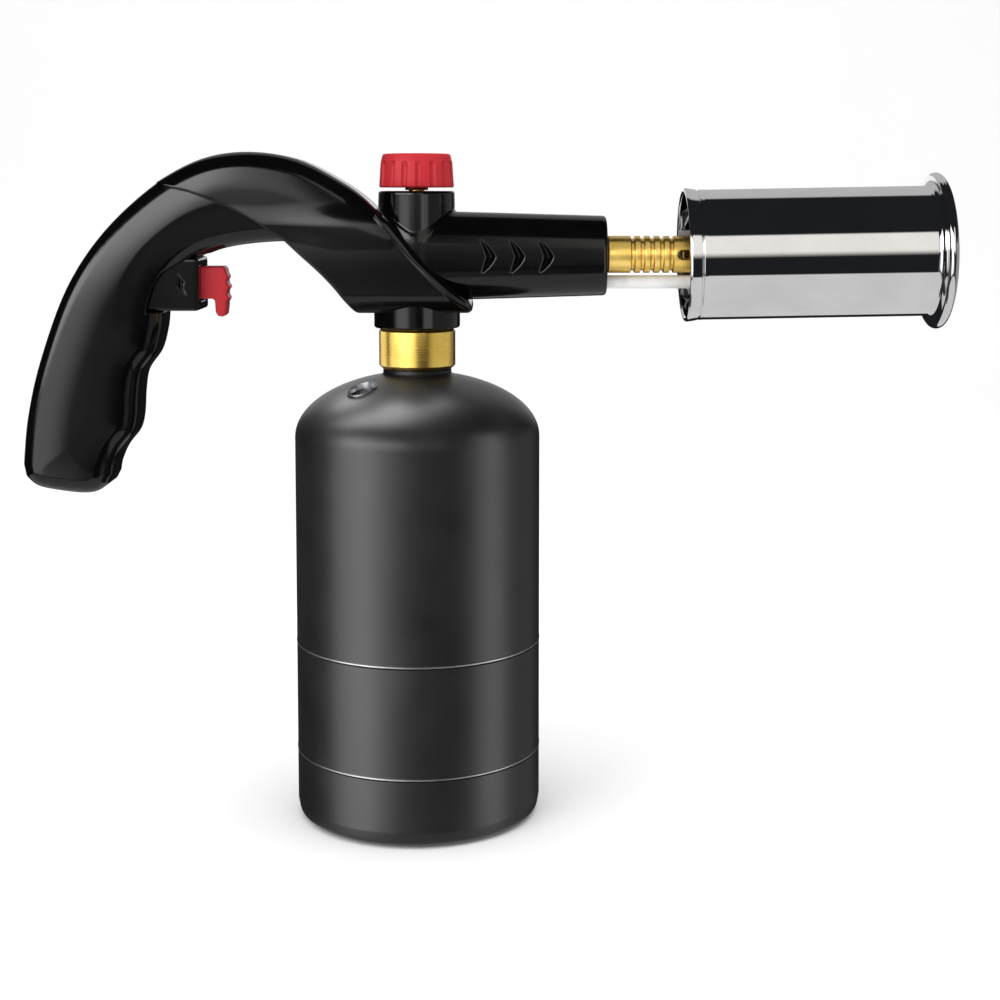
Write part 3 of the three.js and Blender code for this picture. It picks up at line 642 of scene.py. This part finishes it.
settle(lathe("neck_boss", rounded([
    (NECK_BORE, 173.5), (16, 173.5), (16, 177.4, 0.8), (SHOULDER_R + 0.6, 178.2, 0.8),
    (SHOULDER_R, 179.2, 0.4), (SHOULDER_R, SHOULDER_Z, 0.4), (NECK_R - 0.8, SHOULDER_Z),
    (NECK_R - 0.8, NECK_TOP - 0.5),
    (NECK_BORE + 1, NECK_TOP, 0.3), (NECK_BORE, NECK_TOP - 0.8),
]), [STEEL, PAINT], picker=painted_foot), "cylinder", ["tank_neck_boss"])
neck_thread = thread("neck_thread", NECK_R, SHOULDER_Z, NECK_TOP - 0.3, STEEL, NECK_R - 0.75)
neck_hollow = rod("neck_hollow", NECK_BORE + 0.5, SHOULDER_Z - 1, NECK_TOP + 1)
settle(cut(neck_thread, [neck_hollow], 50), "cylinder", [])

relief_body = lathe("relief_valve_ring", rounded([
    (2.5, -9), (5.6, -9), (5.6, 0.15), (6.4, 0.15, 0.1), (6.3, 0.55, 0.3), (5.7, 0.6, 0.2),
    (5.2, -1.4), (4.6, -1.4), (4.6, -5.2), (2.5, -5.2),
]), [STEEL], segments=96)
relief_retainer = lathe("relief_valve_retainer", rounded([
    (1.9, -1.9), (5.1, -1.9), (5.1, -1.4, 0.2), (1.9, -1.4, 0.2),
]), [DARK_VALVE_STEEL], segments=64)
relief_poppet = lathe("relief_valve_poppet", rounded([
    (0, -4.9), (4.2, -4.9, 0.3), (4.2, -3.9, 0.3), (1.5, -3.9), (1.5, -1.1, 0.4), (0, -1.1),
]), [DARK_VALVE_STEEL], segments=48)
for relief_piece in (relief_body, relief_retainer, relief_poppet):
    relief_piece.data.transform(RELIEF_PLACE)
settle(relief_body, "cylinder", ["relief_valve_body"])
settle(relief_retainer, "cylinder", ["relief_retainer"])
settle(relief_poppet, "relief", ["relief_poppet"])

# ---- Collar and skirt ----------------------------------------------------

settle(lathe("collar_nut_turned", rounded([
    (NECK_R + 0.3, NUT_Z), (NUT_R - 1.2, NUT_Z, 0.3), (NUT_R, NUT_Z + 1.2, 0.6),
    (NUT_R, NUT_TOP - 0.9, 0.5), (NUT_R - 0.9, NUT_TOP, 0.3), (SPIGOT_R, NUT_TOP),
    (SPIGOT_R, SPIGOT_TOP, 0.5), (5.2, SPIGOT_TOP),
    (5.2, 193), (NECK_R + 0.3, 193),
]), [BRASS_UP], segments=160), "head", ["collar_nut"])

settle(lathe("neck_skirt_moulding", rounded([
    (SPIGOT_R + 0.3, SKIRT_Z), (SKIRT_R, SKIRT_Z, 1.0), (SKIRT_R, SKIRT_Z + 10),
    (SPIGOT_R + 0.3, SKIRT_Z + 10),
]), [BLACK], segments=128), "head", ["neck_skirt"])

# ---- Handle --------------------------------------------------------------

SEAM_GAP = 0.12      # half the gap between the two halves of a shell
SCREW_HOLE = 3.1


def crowned(grid, depth, edge_half, middle_half, reach):
    """Distance from side faces that swell from their edges to their middle."""
    swell = np.sin(math.pi / 2 * np.clip(depth / reach, 0, 1))
    return np.abs(grid.y) - (edge_half + (middle_half - edge_half) * swell)


def screw_holes(grid, places, half):
    """Counterbores for the screw heads, in a half that is mirrored afterwards."""
    field = 1e3
    for x, z in places:
        around = np.hypot(grid.x - x, grid.z - z) - SCREW_HOLE
        field = np.minimum(field, both(around, grid.y + half - 2.6))
    return field


GRIP_SCREWS = [(-128, 190), (-140, 151)]
COVER_SCREWS = [(-40, 249), (-23, 212.5)]


def grip_halves():
    grid = Grid((-161, -17, 128), (-44, 1, 264.5), 0.45)
    flat = grid.outline(HANDLE_OUTLINE)
    sides = crowned(grid, -flat, 13.6, 15.5, 19)
    shape = rounded_both(flat, sides, 6.5)
    shape = rounded_both(shape, -grid.outline(POCKET), 0.5)
    half = both(shape, grid.y + SEAM_GAP)
    front = field_piece("grip_half_front", half, grid, BLACK)
    holed = both(half, -screw_holes(grid, GRIP_SCREWS, 15.3))
    back = field_piece("grip_half_back", holed, grid, BLACK, mirror=True)
    return front, back


ARCH_LOWER = [(-8, 226), (-30, 227), (-46, 231), (-57.9, 231.9), (-73.9, 230), (-85.2, 226), (-100, 214)]
ARCH_SPINE = [
    (-112, 246), (-102.3, 254.7), (-84, 264.2), (-65.5, 267), (-46, 264), (-28.5, 255.1),
    (-15, 245.6), (0, 233),
]
ARCH_REGION = spline(ARCH_SPINE) + spline(ARCH_LOWER)
SLEEVE = dict(back_half=18.1, half=20.3, low=203.6, high=247, corner=9.5, crown=0.5)


def cover_halves():
    grid = Grid((-105, -21.5, 200), (26, 1, 269), 0.42)
    region = grid.outline(COVER_REGION)
    spine = grid.outline(ARCH_REGION)
    arch = rounded_both(spine, crowned(grid, -spine, 16.6, 18.3, 15), 6.5)
    middle = (SLEEVE["low"] + SLEEVE["high"]) / 2
    tall = (SLEEVE["high"] - SLEEVE["low"]) / 2
    from_middle = (grid.z - middle) / tall
    widening = ease(grid.x, -66, -10)
    half_width = SLEEVE["back_half"] + (SLEEVE["half"] - SLEEVE["back_half"]) * widening
    across = np.abs(grid.y) - (half_width - SLEEVE["crown"] * from_middle ** 2)
    sleeve = rounded_both(np.abs(grid.z - middle) - tall, across, SLEEVE["corner"])
    body = either(arch, sleeve, 4)
    ahead = ease(grid.x, -20, -8)
    shape = rounded_both(body, region, 0.7 + 1.2 * ahead)
    thick = 0.7 + 0.9 * np.clip((242 - grid.z) / 36, 0, 1)
    sleeve_side = np.abs(grid.y) - SLEEVE["half"] + 0.9 + 3.5 * ease(213 - grid.z, 0, 12)
    bead = np.hypot(sleeve_side, grid.curve(spline(LIP_BEAD))) - thick
    shape = either(shape, bead, 0.4)
    hem = np.hypot(across + 1.3, grid.curve(spline(LIP_EDGE[2:]))) - 0.45
    shape = either(shape, hem, 0.3)
    half = both(both(shape, grid.y + SEAM_GAP), np.abs(grid.y) - 21.3)
    front = field_piece("arch_cover_half_front", half, grid, BLACK)
    holed = both(half, -screw_holes(grid, COVER_SCREWS, 18.2))
    back = field_piece("arch_cover_half_back", holed, grid, BLACK, mirror=True)
    return front, back


for half, node in zip(grip_halves(), ("grip_shell_front", "grip_shell_back")):
    settle(half, "head", [node])
for half, node in zip(cover_halves(), ("arch_cover_front", "arch_cover_back")):
    settle(half, "head", [node])


def shell_screw(name, x, z, seat):
    """A pan-head screw facing +Y with a cross recess."""
    screw = lathe(name, rounded([
        (0, -8), (1.3, -8), (1.3, 0), (2.8, 0, 0.2), (2.8, 1.2, 0.9), (0, 1.9),
    ]), [STEEL], segments=40)
    slots = []
    for angle in (0, math.pi / 2):
        slot = box_piece("slot", (-1.7, -0.3, 0.9), (1.7, 0.3, 3))
        slot.data.transform(Matrix.Rotation(angle, 4, "Z"))
        slots.append(slot)
    cut(screw, slots)
    place = Matrix.Translation(Vector((x, seat, z)) * MM)
    screw.data.transform(place @ Matrix.Rotation(-math.pi / 2, 4, "X"))
    return screw


def box_piece(name, low, high):
    vertices = [(x, y, z) for x in (low[0], high[0]) for y in (low[1], high[1]) for z in (low[2], high[2])]
    faces = [(0, 1, 3, 2), (4, 6, 7, 5), (0, 4, 5, 1), (2, 3, 7, 6), (0, 2, 6, 4), (1, 5, 7, 3)]
    piece = new_mesh(name, vertices, faces, [])
    face_outwards(piece)
    return piece


SCREWS = [(x, z, 15.7) for x, z in COVER_SCREWS] + [(x, z, 12.8) for x, z in GRIP_SCREWS]
for number, (x, z, seat) in enumerate(SCREWS, start=1):
    screw_piece = shell_screw(f"shell_screw_head_{number}", x, z, seat)
    settle(screw_piece, "head", [f"shell_screw_{number}"])

# ---- Trigger and its guide -----------------------------------------------


def guide_block():
    grid = Grid((-108, -12.6, 203.4), (-84.6, 12.6, 226.6), 0.3)
    half_x, half_y, half_z = GUIDE_HALF
    length = np.abs(grid.x - GUIDE_X) - half_x
    width = np.abs(grid.y) - half_y
    height = np.abs(grid.z - GUIDE_Z) - half_z
    block = rounded_both(rounded_both(length, width, 1.4), height, 1.4)
    slot = both(both(np.abs(grid.y) - 5, np.abs(grid.z - 215.2) - 7.2), -98.5 - grid.x)
    bolt = grid.outline([(BOLT_PLACE[0] + x, BOLT_PLACE[1] + z) for x, z in BOLT_RECESS])
    recess = bolt - 0.8 * width
    return field_piece("trigger_guide_block", both(both(block, -slot), -recess), grid, BLACK)


def trigger_piece():
    grid = Grid((-91, -5.5, 200.5), (-74, 5.5, 222.6), 0.22)
    shape = rounded_both(grid.outline(TRIGGER_OUTLINE), np.abs(grid.y) - 4.5, 1.1)
    return field_piece("trigger_moulding", shape, grid, RED)


settle(guide_block(), "head", ["trigger_guide"])
settle(trigger_piece(), "trigger", ["trigger"])

# ---- Barrel housing with its turret --------------------------------------

CHEVRON = dict(tail=25.6, tip=31.5, inner=28.0, high=7.2, pitch=11.3, count=3)


def chevron(shift, steps=8):
    """A mark that points forwards: two bent lines that meet at their thin tails."""
    mark = CHEVRON
    outer, inner = [], []
    for i in range(-steps, steps + 1):
        t = i / steps
        height = BARREL_AXIS + mark["high"] * t
        outer.append((shift + mark["tail"] + (mark["tip"] - mark["tail"]) * (1 - abs(t) ** 1.4), height))
        inner.append((shift + mark["tail"] + (mark["inner"] - mark["tail"]) * (1 - abs(t) ** 1.2), height))
    return outer + inner[-2:0:-1]


def barrel():
    grid = Grid((-19, -19.5, 206), (77, 19.5, 253), 0.4)
    along = (grid.x - BARREL_BACK) / (BARREL_FRONT - BARREL_BACK)
    half = BARREL_HALF_BACK + (BARREL_HALF_FRONT - BARREL_HALF_BACK) * along
    z = grid.z - BARREL_AXIS
    crown = 0.35
    side = np.abs(grid.y) - half + crown * (z / half) ** 2
    lid = np.abs(z) - half + crown * (grid.y / half) ** 2
    square = rounded_both(side, lid, 12.5)
    tube = rounded_both(square, grid.x - BARREL_FRONT, 1.4)
    tube = both(tube, BARREL_BACK - grid.x)
    around = np.hypot(grid.x, grid.y * TURRET_R / TURRET_HALF_DEPTH) + 0 * grid.z
    post = rounded_both(around - TURRET_R, grid.z - TURRET_TOP, 1.0)
    post = both(post, BARREL_AXIS - grid.z)
    shape = either(tube, post, 0.6)
    shape = either(shape, np.hypot(tube, around - TURRET_R) - 0.55, 0.2)
    well = both(around - TURRET_R + 1.5, TURRET_TOP - 0.7 - grid.z)
    shape = both(shape, -well)
    depth = -side
    for i in range(CHEVRON["count"]):
        mark = grid.outline(chevron(i * CHEVRON["pitch"]))
        shape = both(shape, -(mark - 0.1 + 0.6 * depth))
    for radius, height in ((2.3, BURNER_AXIS), (CERAMIC_R + 0.3, CERAMIC_AXIS)):
        hole = both(np.hypot(grid.y, grid.z - height) - radius, BARREL_FRONT - 8 - grid.x)
        shape = both(shape, -hole)
    return field_piece("barrel_moulding", shape, grid, BLACK)


settle(barrel(), "head", ["barrel_housing"])

# ---- Knob ----------------------------------------------------------------

RIBS = 16
FLUTE = dict(turn=math.radians(-84), depth=0.95, half_width=1.3, shoulder=261.2, end=263.3)
KNOB_PROFILE = [
    (0, 252), (4.4, 252), (4.6, 252.2), (4.6, 253), (12.5, 253), (14.1, 253), (14.55, 253.12),
    (14.82, 253.4), (14.9, 253.8), (14.75, 256), (14.63, 258), (14.51, 260), (14.43, 261.2),
    (14.4, 261.7), (14.37, 262.1), (14.34, 262.5), (14.32, 262.8), (14.3, 263.1), (14.22, 263.35),
    (14, 264.2), (13.7, 265.4), (13.55, 265.9), (13.3, 266.2), (12.95, 266.35), (12.4, 266.4),
    (8, 266.4), (7.5, 266.32), (7.3, 266.1), (7.3, 264.3), (0, 264.3),
]


def knob_flute(radius, height, angle):
    """How deep the flutes between the knob's ribs are at a point; they end in round shoulders."""
    if radius <= 12 or height >= FLUTE["end"]:
        return 0
    rise = np.clip((height - FLUTE["shoulder"]) / (FLUTE["end"] - FLUTE["shoulder"]), 0, 1)
    turn = (angle - FLUTE["turn"]) % (FULL_TURN / RIBS)
    turn = min(turn, FULL_TURN / RIBS - turn)
    share = turn * radius / FLUTE["half_width"]
    return FLUTE["depth"] * max(0, 1 - share ** 2) ** 0.8 * math.sqrt(1 - rise ** 2)


settle(lathe("knob_moulding", KNOB_PROFILE, [RED], segments=RIBS * 28, sharp=40, dent=knob_flute),
       "knob", ["knob"])
settle(lathe("knob_cap_moulding", rounded([
    (0, 264.6), (7, 264.6), (7, 265.9, 0.3), (6.4, 266.2, 0.4), (0, 266.2),
]), [RED]), "knob", ["knob_cap"])

# ---- Burner --------------------------------------------------------------


def mixing_tube():
    pitch, width, depth, land, bore = 3.85, 1.6, 1.0, 85.3, 4.5
    profile = [(2.3, TUBE_BACK), (TUBE_R, TUBE_BACK, 0.4)]
    for i in range(5):
        start = land + i * pitch
        profile += [(TUBE_R, start, 0.3), (TUBE_R - depth, start + 0.25, 0.25),
                    (TUBE_R - depth, start + width - 0.25, 0.25), (TUBE_R, start + width, 0.3)]
    profile += [(TUBE_R, TUBE_FRONT), (bore, TUBE_FRONT), (bore, 78.3), (2.3, 78.3)]
    tube = lathe("mixing_tube_turned", rounded(profile, 4), [BRASS_LYING], "X", BURNER_AXIS, 96)
    cutters = []
    slot_back, slot_front, slot_half = 103.5, 118, 2.0
    for quarter in range(4):
        arc = [math.pi / 2 + math.pi * k / 10 for k in range(11)]
        outline = [(slot_back + slot_half + slot_half * math.cos(a), slot_half * math.sin(a)) for a in arc]
        outline += [(slot_front, -slot_half), (slot_front, slot_half)]
        count = len(outline)
        vertices = [(x, y, level) for level in (3, 9) for x, y in outline]
        faces = [tuple(range(count)), tuple(range(count, 2 * count))]
        faces += [(k, (k + 1) % count, count + (k + 1) % count, count + k) for k in range(count)]
        cutter = new_mesh("slot", vertices, faces, [])
        face_outwards(cutter)
        turn = Matrix.Rotation(quarter * math.pi / 2, 4, "X")
        cutter.data.transform(Matrix.Translation(Vector((0, 0, BURNER_AXIS)) * MM) @ turn)
        cutters.append(cutter)
    return cut(tube, cutters)


def along_x(name, profile, material, segments=96, height=BURNER_AXIS):
    return lathe(name, rounded(profile), [material], "X", height, segments)


def flame_holder():
    plate = along_x("flame_holder_plate", [
        (0, 134), (16.5, 134, 0.3), (16.5, 136, 0.3), (0, 136),
    ], BURNER_STEEL)
    holes = [rod("hole", 3.5, 130, 140, "X", BURNER_AXIS, 32)]
    for i in range(8):
        angle = FULL_TURN * i / 8
        hole = rod("hole", 2.4, 130, 140, "X", BURNER_AXIS + 11 * math.sin(angle), 24)
        hole.data.transform(Matrix.Translation(Vector((0, 11 * math.cos(angle), 0)) * MM))
        holes.append(hole)
    return cut(plate, holes)


def guard_spider():
    """A ring on the burner cup with three arms that hold the guard, each a bent strip."""
    grid = Grid((122.5, -27, BURNER_AXIS - 27), (129.5, 27, BURNER_AXIS + 27), 0.4)
    around = np.hypot(grid.y, grid.z - BURNER_AXIS)
    thick = np.abs(grid.x - 126) - 2
    shape = rounded_both(np.abs(around - 19.15) - 0.85, thick, 0.4)
    for i in range(3):
        angle = FULL_TURN * i / 3
        up = -math.sin(angle) * grid.y + math.cos(angle) * (grid.z - BURNER_AXIS)
        side = math.cos(angle) * grid.y + math.sin(angle) * (grid.z - BURNER_AXIS)
        arm = rounded_both(both(np.abs(side) - 3, np.abs(up - 22) - 2.7), thick, 0.4)
        shape = either(shape, arm, 1.0)
    return field_piece("guard_spider_bracket", shape, grid, BURNER_STEEL)


def lip_roll(centre_radius, centre_x, roll, start, end, steps=18):
    """An arc of the guard's rolled lip, by angles from the outward direction."""
    points = []
    for i in range(steps + 1):
        angle = math.radians(start + (end - start) * i / steps)
        points.append((centre_radius + roll * math.cos(angle), centre_x + roll * math.sin(angle)))
    return points


# The bead round the guard's rear: (outwards from its wall, forwards from its end, fillet).
GUARD_RIM = [
    (-1.4, 0.6, 0.3), (-0.8, 0, 0.4), (0.3, 0, 0.6), (0.75, 0.9, 0.6), (0.3, 3.9, 1.2),
    (0.2, 4.7, 0.2), (-0.45, 4.95, 0.2), (-0.45, 5.35, 0.2), (0.15, 5.6, 0.3), (0, 7, 0.5),
]


def flame_guard():
    inside = GUARD_R - 1.0
    roll = 2.05
    roll_x = GUARD_FRONT - roll
    roll_r = GUARD_LIP - roll
    rim = [(GUARD_R + out, GUARD_BACK + on, fillet) for out, on, fillet in GUARD_RIM]
    rear = rounded(rim + [(GUARD_R, roll_x - 6), (inside, roll_x - 6)], 6)
    flare = rounded([
        (GUARD_R, roll_x - 9), (GUARD_R, roll_x - 3.2, 2.4), (roll_r + 0.3, roll_x - roll),
    ], 8)[1:-1]
    lip = lip_roll(roll_r, roll_x, roll, -95, 125)
    mouth = rounded([
        (roll_r - 2, roll_x + 1.6), (inside, roll_x - 2.6, 4), (inside, GUARD_BACK + 3),
    ], 8)[1:]
    profile = rear[:-2] + flare + lip + mouth
    return lathe("flame_guard_shell", profile, [CHROME], "X", BURNER_AXIS, 256, sharp=50)


def tilted(piece):
    """Turns a piece of the burner head nose-up with it."""
    piece.data.transform(Matrix.Translation(HEAD_PIVOT) @ HEAD_TILT @ Matrix.Translation(-HEAD_PIVOT))
    return piece


settle(mixing_tube(), "head", ["mixing_tube"])
settle(along_x("jet_nozzle_turned", [
    (1.2, 80.3), (4.2, 80.3), (4.2, 86, 0.4), (2, 90, 0.3), (0.5, 90), (0.5, 87), (1.2, 86.5),
], BRASS_LYING, 48), "head", ["jet_nozzle"])
settle(along_x("gas_tube_drawn", [
    (1, 6), (2, 6), (2, 80), (1, 80),
], BRASS_LYING, 48), "head", ["gas_tube"])
settle(tilted(along_x("burner_cup_spun", [
    (TUBE_R + 0.3, 122), (18, 122, 2.0), (18, 168, 0.5), (16.8, 168, 0.5), (16.8, 123.2, 1.2),
    (TUBE_R + 0.3, 123.2),
], BURNER_STEEL, 128)), "head", ["burner_cup"])
settle(tilted(flame_holder()), "head", ["flame_holder"])
settle(tilted(guard_spider()), "head", ["guard_spider"])
settle(tilted(flame_guard()), "head", ["flame_guard"])
settle(along_x("ceramic_insulator", [
    (1.2, ceramic_low.x), (CERAMIC_R, ceramic_low.x, 0.3), (CERAMIC_R, ceramic_high.x, 0.5),
    (1.2, ceramic_high.x, 0.3),
], CERAMIC, 64, CERAMIC_AXIS), "head", ["electrode_tube"])
settle(along_x("spark_electrode", [
    (0, 64.3), (0.9, 64.3), (0.9, 141.2), (0.4, 142, 0.2), (0, 142),
], STEEL, 32, CERAMIC_AXIS), "head", ["electrode_rod"])

# ---- Inner pieces carried over from the CAD ------------------------------

SLOT_OF_NODE = {subpart["node"]: subpart["material_slot"] for subpart in frame["record"]["subparts"]}

for node, piece in frame["nodes"].items():
    if piece.hide_render:
        continue
    piece.data.materials.clear()
    piece.data.materials.append(SLOT_LOOKS[SLOT_OF_NODE[node]])

# ---- Floor, camera and light ---------------------------------------------


def floor_sheet():
    """A studio sweep: the floor runs back and curves up out of sight."""
    near, far, wide, high, bend = -3000.0, 2200.0, 4500.0, 3600.0, 900.0
    line = [(near, 0.0), (far - bend, 0.0)]
    line += [(far - bend + bend * math.sin(a), bend - bend * math.cos(a))
             for a in (math.pi / 2 * k / 24 for k in range(1, 25))]
    line.append((far, high))
    vertices = [(x, y, z) for y, z in line for x in (-wide, wide)]
    faces = [(2 * i, 2 * i + 1, 2 * i + 3, 2 * i + 2) for i in range(len(line) - 1)]
    material, tree, shader = new_material("studio_paper", (0.93, 0.93, 0.93), 0.9, Specular_IOR_Level=0.1)
    vary_color(tree, shader, 3, (0.925,) * 3, (0.935,) * 3)
    bump(tree, shader, noise(tree, 800, 2), 0.05, 0.0001)
    sheet = new_mesh("studio_sweep", vertices, faces, [material])
    sheet.data.shade_smooth()
    sheet.visible_glossy = False
    return sheet


CAMERA = dict(lens=61.2, sensor=36, shift=-0.159, pitch=85, place=(33.25, -680.6, 251.14))


def camera():
    """Stands where the photographer stood, tipped down a little."""
    data = bpy.data.cameras.new("camera")
    data.lens = CAMERA["lens"]
    data.sensor_width = CAMERA["sensor"]
    data.shift_y = CAMERA["shift"]
    data.clip_end = 20
    eye = bpy.data.objects.new("camera", data)
    eye.location = Vector(CAMERA["place"]) * MM
    eye.rotation_euler = (math.radians(CAMERA["pitch"]), 0, 0)
    bpy.context.scene.collection.objects.link(eye)
    bpy.context.scene.camera = eye


def collection_of(name, pieces):
    group = bpy.data.collections.new(name)
    for piece in pieces:
        group.objects.link(bpy.data.objects[piece])
    return group


def soft_light(name, place, width, height, power, color=(1, 1, 1), only=None, blockers=None):
    """An area light aimed at the torch. It shows in no mirror unless it is kept for
    certain pieces, which are then the only ones that take its light, and block it
    unless other blockers are named."""
    data = bpy.data.lights.new(name, "AREA")
    data.shape = "RECTANGLE"
    data.size, data.size_y = width, height
    data.energy = power
    data.color = color
    light = bpy.data.objects.new(name, data)
    light.location = place
    aim = AIM - Vector(place)
    light.rotation_euler = aim.to_track_quat("-Z", "Y").to_euler()
    light.visible_camera = False
    light.visible_glossy = only is not None
    if only:
        light.light_linking.receiver_collection = collection_of(name + "_lit", only)
        light.light_linking.blocker_collection = collection_of(name + "_blockers", blockers or only)
    bpy.context.scene.collection.objects.link(light)


def panel_light(name, azimuth, elevation, width, height, radiance, only, blockers=None, away=1.5):
    """A light panel kept for certain pieces, placed by direction and sized in degrees."""
    az, el = math.radians(azimuth), math.radians(elevation)
    direction = Vector((math.sin(az) * math.cos(el), -math.cos(az) * math.cos(el), math.sin(el)))
    wide = 2 * away * math.tan(math.radians(width / 2))
    tall = 2 * away * math.tan(math.radians(height / 2))
    power = radiance * math.pi * wide * tall
    soft_light(name, AIM + direction * away, wide, tall, power, NEUTRAL, only, blockers)


AIM = Vector((0.02, 0, 0.16))
TANK_PIECES = ["cylinder_upper_shell", "cylinder_lower_shell", "cylinder_foot_cup"]
COLLAR_PIECES = ["collar_nut_turned"]
TUBE_PIECES = ["mixing_tube_turned"]
NECK_PIECES = ["neck_boss", "collar_nut_turned", "neck_skirt_moulding"]
HANDLE_PIECES = ["barrel_moulding", "neck_skirt_moulding", "arch_cover_half_front"]

# What polished surfaces see, by direction from the torch. Azimuth is 0 towards the
# camera and grows to the right; each panel is its azimuth from, to and softness, its
# elevation from, to and the softness of each end, brightness and colour, in degrees.
WARM, NEUTRAL, COOL = (1.0, 0.97, 0.92), (1.0, 1.0, 1.0), (0.8, 0.87, 1.0)
DOME_STRENGTH = 0.85     # what matt surfaces take from all round
PANELS = [
    (5, 29, 1.5, 0, 34, 6, 2, 0.9, WARM),
    (-2, 5, 3, -0.3, 3, 1.6, 1.5, 0.9, WARM),
    (-30, -2, 3, -0.3, 19, 1.6, 2, 1.4, NEUTRAL),
    (-70, -10, 5, 3.5, 24, 6, 4, 5.0, NEUTRAL),
    (-56, -20, 9, -30, 4, 4, 3, 1.9, NEUTRAL),
    (44, 140, 8, -30, 10, 4, 3, 0.3, NEUTRAL),
    (-17, -1, 2, -30, -5, 3, 1, 0.25, NEUTRAL),
    (-1, 5, 2, -60, -14, 3, 5, 0.3, NEUTRAL),
    (158, 202, 4, -0.5, 11, 0.5, 3, 1.0, NEUTRAL),
    (145, 215, 4, 11, 62, 3, 3, 0.5, NEUTRAL),
    (-360, 360, 1, -90, -35, 1, 1, 0.63, NEUTRAL),
    (-360, 360, 1, -91, 91, 0.1, 0.1, 0.016, COOL),
]


def calculate(tree, operation, a, b=0.0, c=0.0):
    node = tree.nodes.new("ShaderNodeMath")
    node.operation = operation
    for socket, value in zip(node.inputs, (a, b, c)):
        if isinstance(value, (int, float)):
            socket.default_value = value
        else:
            tree.links.new(value, socket)
    return node.outputs[0]


def between(tree, value, low, high, soft_low, soft_high):
    """1 between two limits and 0 outside them, with soft edges."""
    rise = remap(tree, value, low - soft_low, low + soft_low, 0, 1, "SMOOTHSTEP")
    fall = remap(tree, value, high - soft_high, high + soft_high, 1, 0, "SMOOTHSTEP")
    return calculate(tree, "MULTIPLY", rise, fall)


def studio_world():
    """Mirrors see the panels; everything else sees an even white dome."""
    world = bpy.data.worlds.new("studio")
    world.use_nodes = True
    world.cycles.sampling_method = "NONE"
    bpy.context.scene.world = world
    tree = world.node_tree
    tree.nodes.clear()
    direction = tree.nodes.new("ShaderNodeTexCoord").outputs["Generated"]
    split = tree.nodes.new("ShaderNodeSeparateXYZ")
    tree.links.new(direction, split.inputs[0])
    x, y, z = split.outputs
    degrees = 180 / math.pi
    toward = calculate(tree, "MULTIPLY", y, -1.0)
    azimuth = calculate(tree, "MULTIPLY", calculate(tree, "ARCTAN2", x, toward), degrees)
    left = calculate(tree, "LESS_THAN", azimuth, 0.0)
    behind = calculate(tree, "MULTIPLY_ADD", left, 360.0, azimuth)
    elevation = calculate(tree, "MULTIPLY", calculate(tree, "ARCSINE", z), degrees)
    total = None
    for az_low, az_high, az_soft, el_low, el_high, el_soft_low, el_soft_high, bright, color in PANELS:
        turn = behind if az_low > 90 else azimuth
        mask = calculate(tree, "MULTIPLY", between(tree, turn, az_low, az_high, az_soft, az_soft),
                         between(tree, elevation, el_low, el_high, el_soft_low, el_soft_high))
        glow = tree.nodes.new("ShaderNodeVectorMath")
        glow.operation = "SCALE"
        glow.inputs[0].default_value = [channel * bright for channel in color]
        tree.links.new(mask, glow.inputs["Scale"])
        if total is None:
            total = glow.outputs[0]
            continue
        join = tree.nodes.new("ShaderNodeVectorMath")
        join.operation = "MAXIMUM"
        tree.links.new(total, join.inputs[0])
        tree.links.new(glow.outputs[0], join.inputs[1])
        total = join.outputs[0]
    mirror = tree.nodes.new("ShaderNodeBackground")
    tree.links.new(total, mirror.inputs["Color"])
    dome_light = tree.nodes.new("ShaderNodeBackground")
    dome_light.inputs["Color"].default_value = (1, 1, 1, 1)
    dome_light.inputs["Strength"].default_value = DOME_STRENGTH
    rays = tree.nodes.new("ShaderNodeLightPath")
    mix = tree.nodes.new("ShaderNodeMixShader")
    tree.links.new(rays.outputs["Is Glossy Ray"], mix.inputs["Fac"])
    tree.links.new(dome_light.outputs[0], mix.inputs[1])
    tree.links.new(mirror.outputs[0], mix.inputs[2])
    output = tree.nodes.new("ShaderNodeOutputWorld")
    tree.links.new(mix.outputs[0], output.inputs["Surface"])


floor_sheet()
camera()
studio_world()
soft_light("overhead", (0.1, -0.2, 1.7), 1.6, 1.6, 16)
soft_light("left_front", (-1.1, -1.2, 0.9), 0.9, 0.9, 9)
panel_light("tank_left", -59, -4, 40, 68, 2.8, TANK_PIECES)
panel_light("tank_right", 73, -4, 28, 68, 2.4, TANK_PIECES)
panel_light("tank_above", -119, 65, 55, 50, 7.5, TANK_PIECES, TANK_PIECES + NECK_PIECES)
panel_light("collar_left", -100, -5, 80, 50, 1.1, COLLAR_PIECES)
panel_light("collar_front", -12, -5, 22, 50, 0.85, COLLAR_PIECES)
panel_light("collar_right", 78, -5, 82, 50, 0.35, COLLAR_PIECES)
panel_light("tube_above", 8, 40, 60, 90, 0.6, TUBE_PIECES)
panel_light("tube_below", 8, -40, 60, 70, 0.45, TUBE_PIECES)
panel_light("handle_right", 31, -12, 24, 40, 1.4, HANDLE_PIECES)
bpy.context.scene.view_settings.view_transform = "Standard"
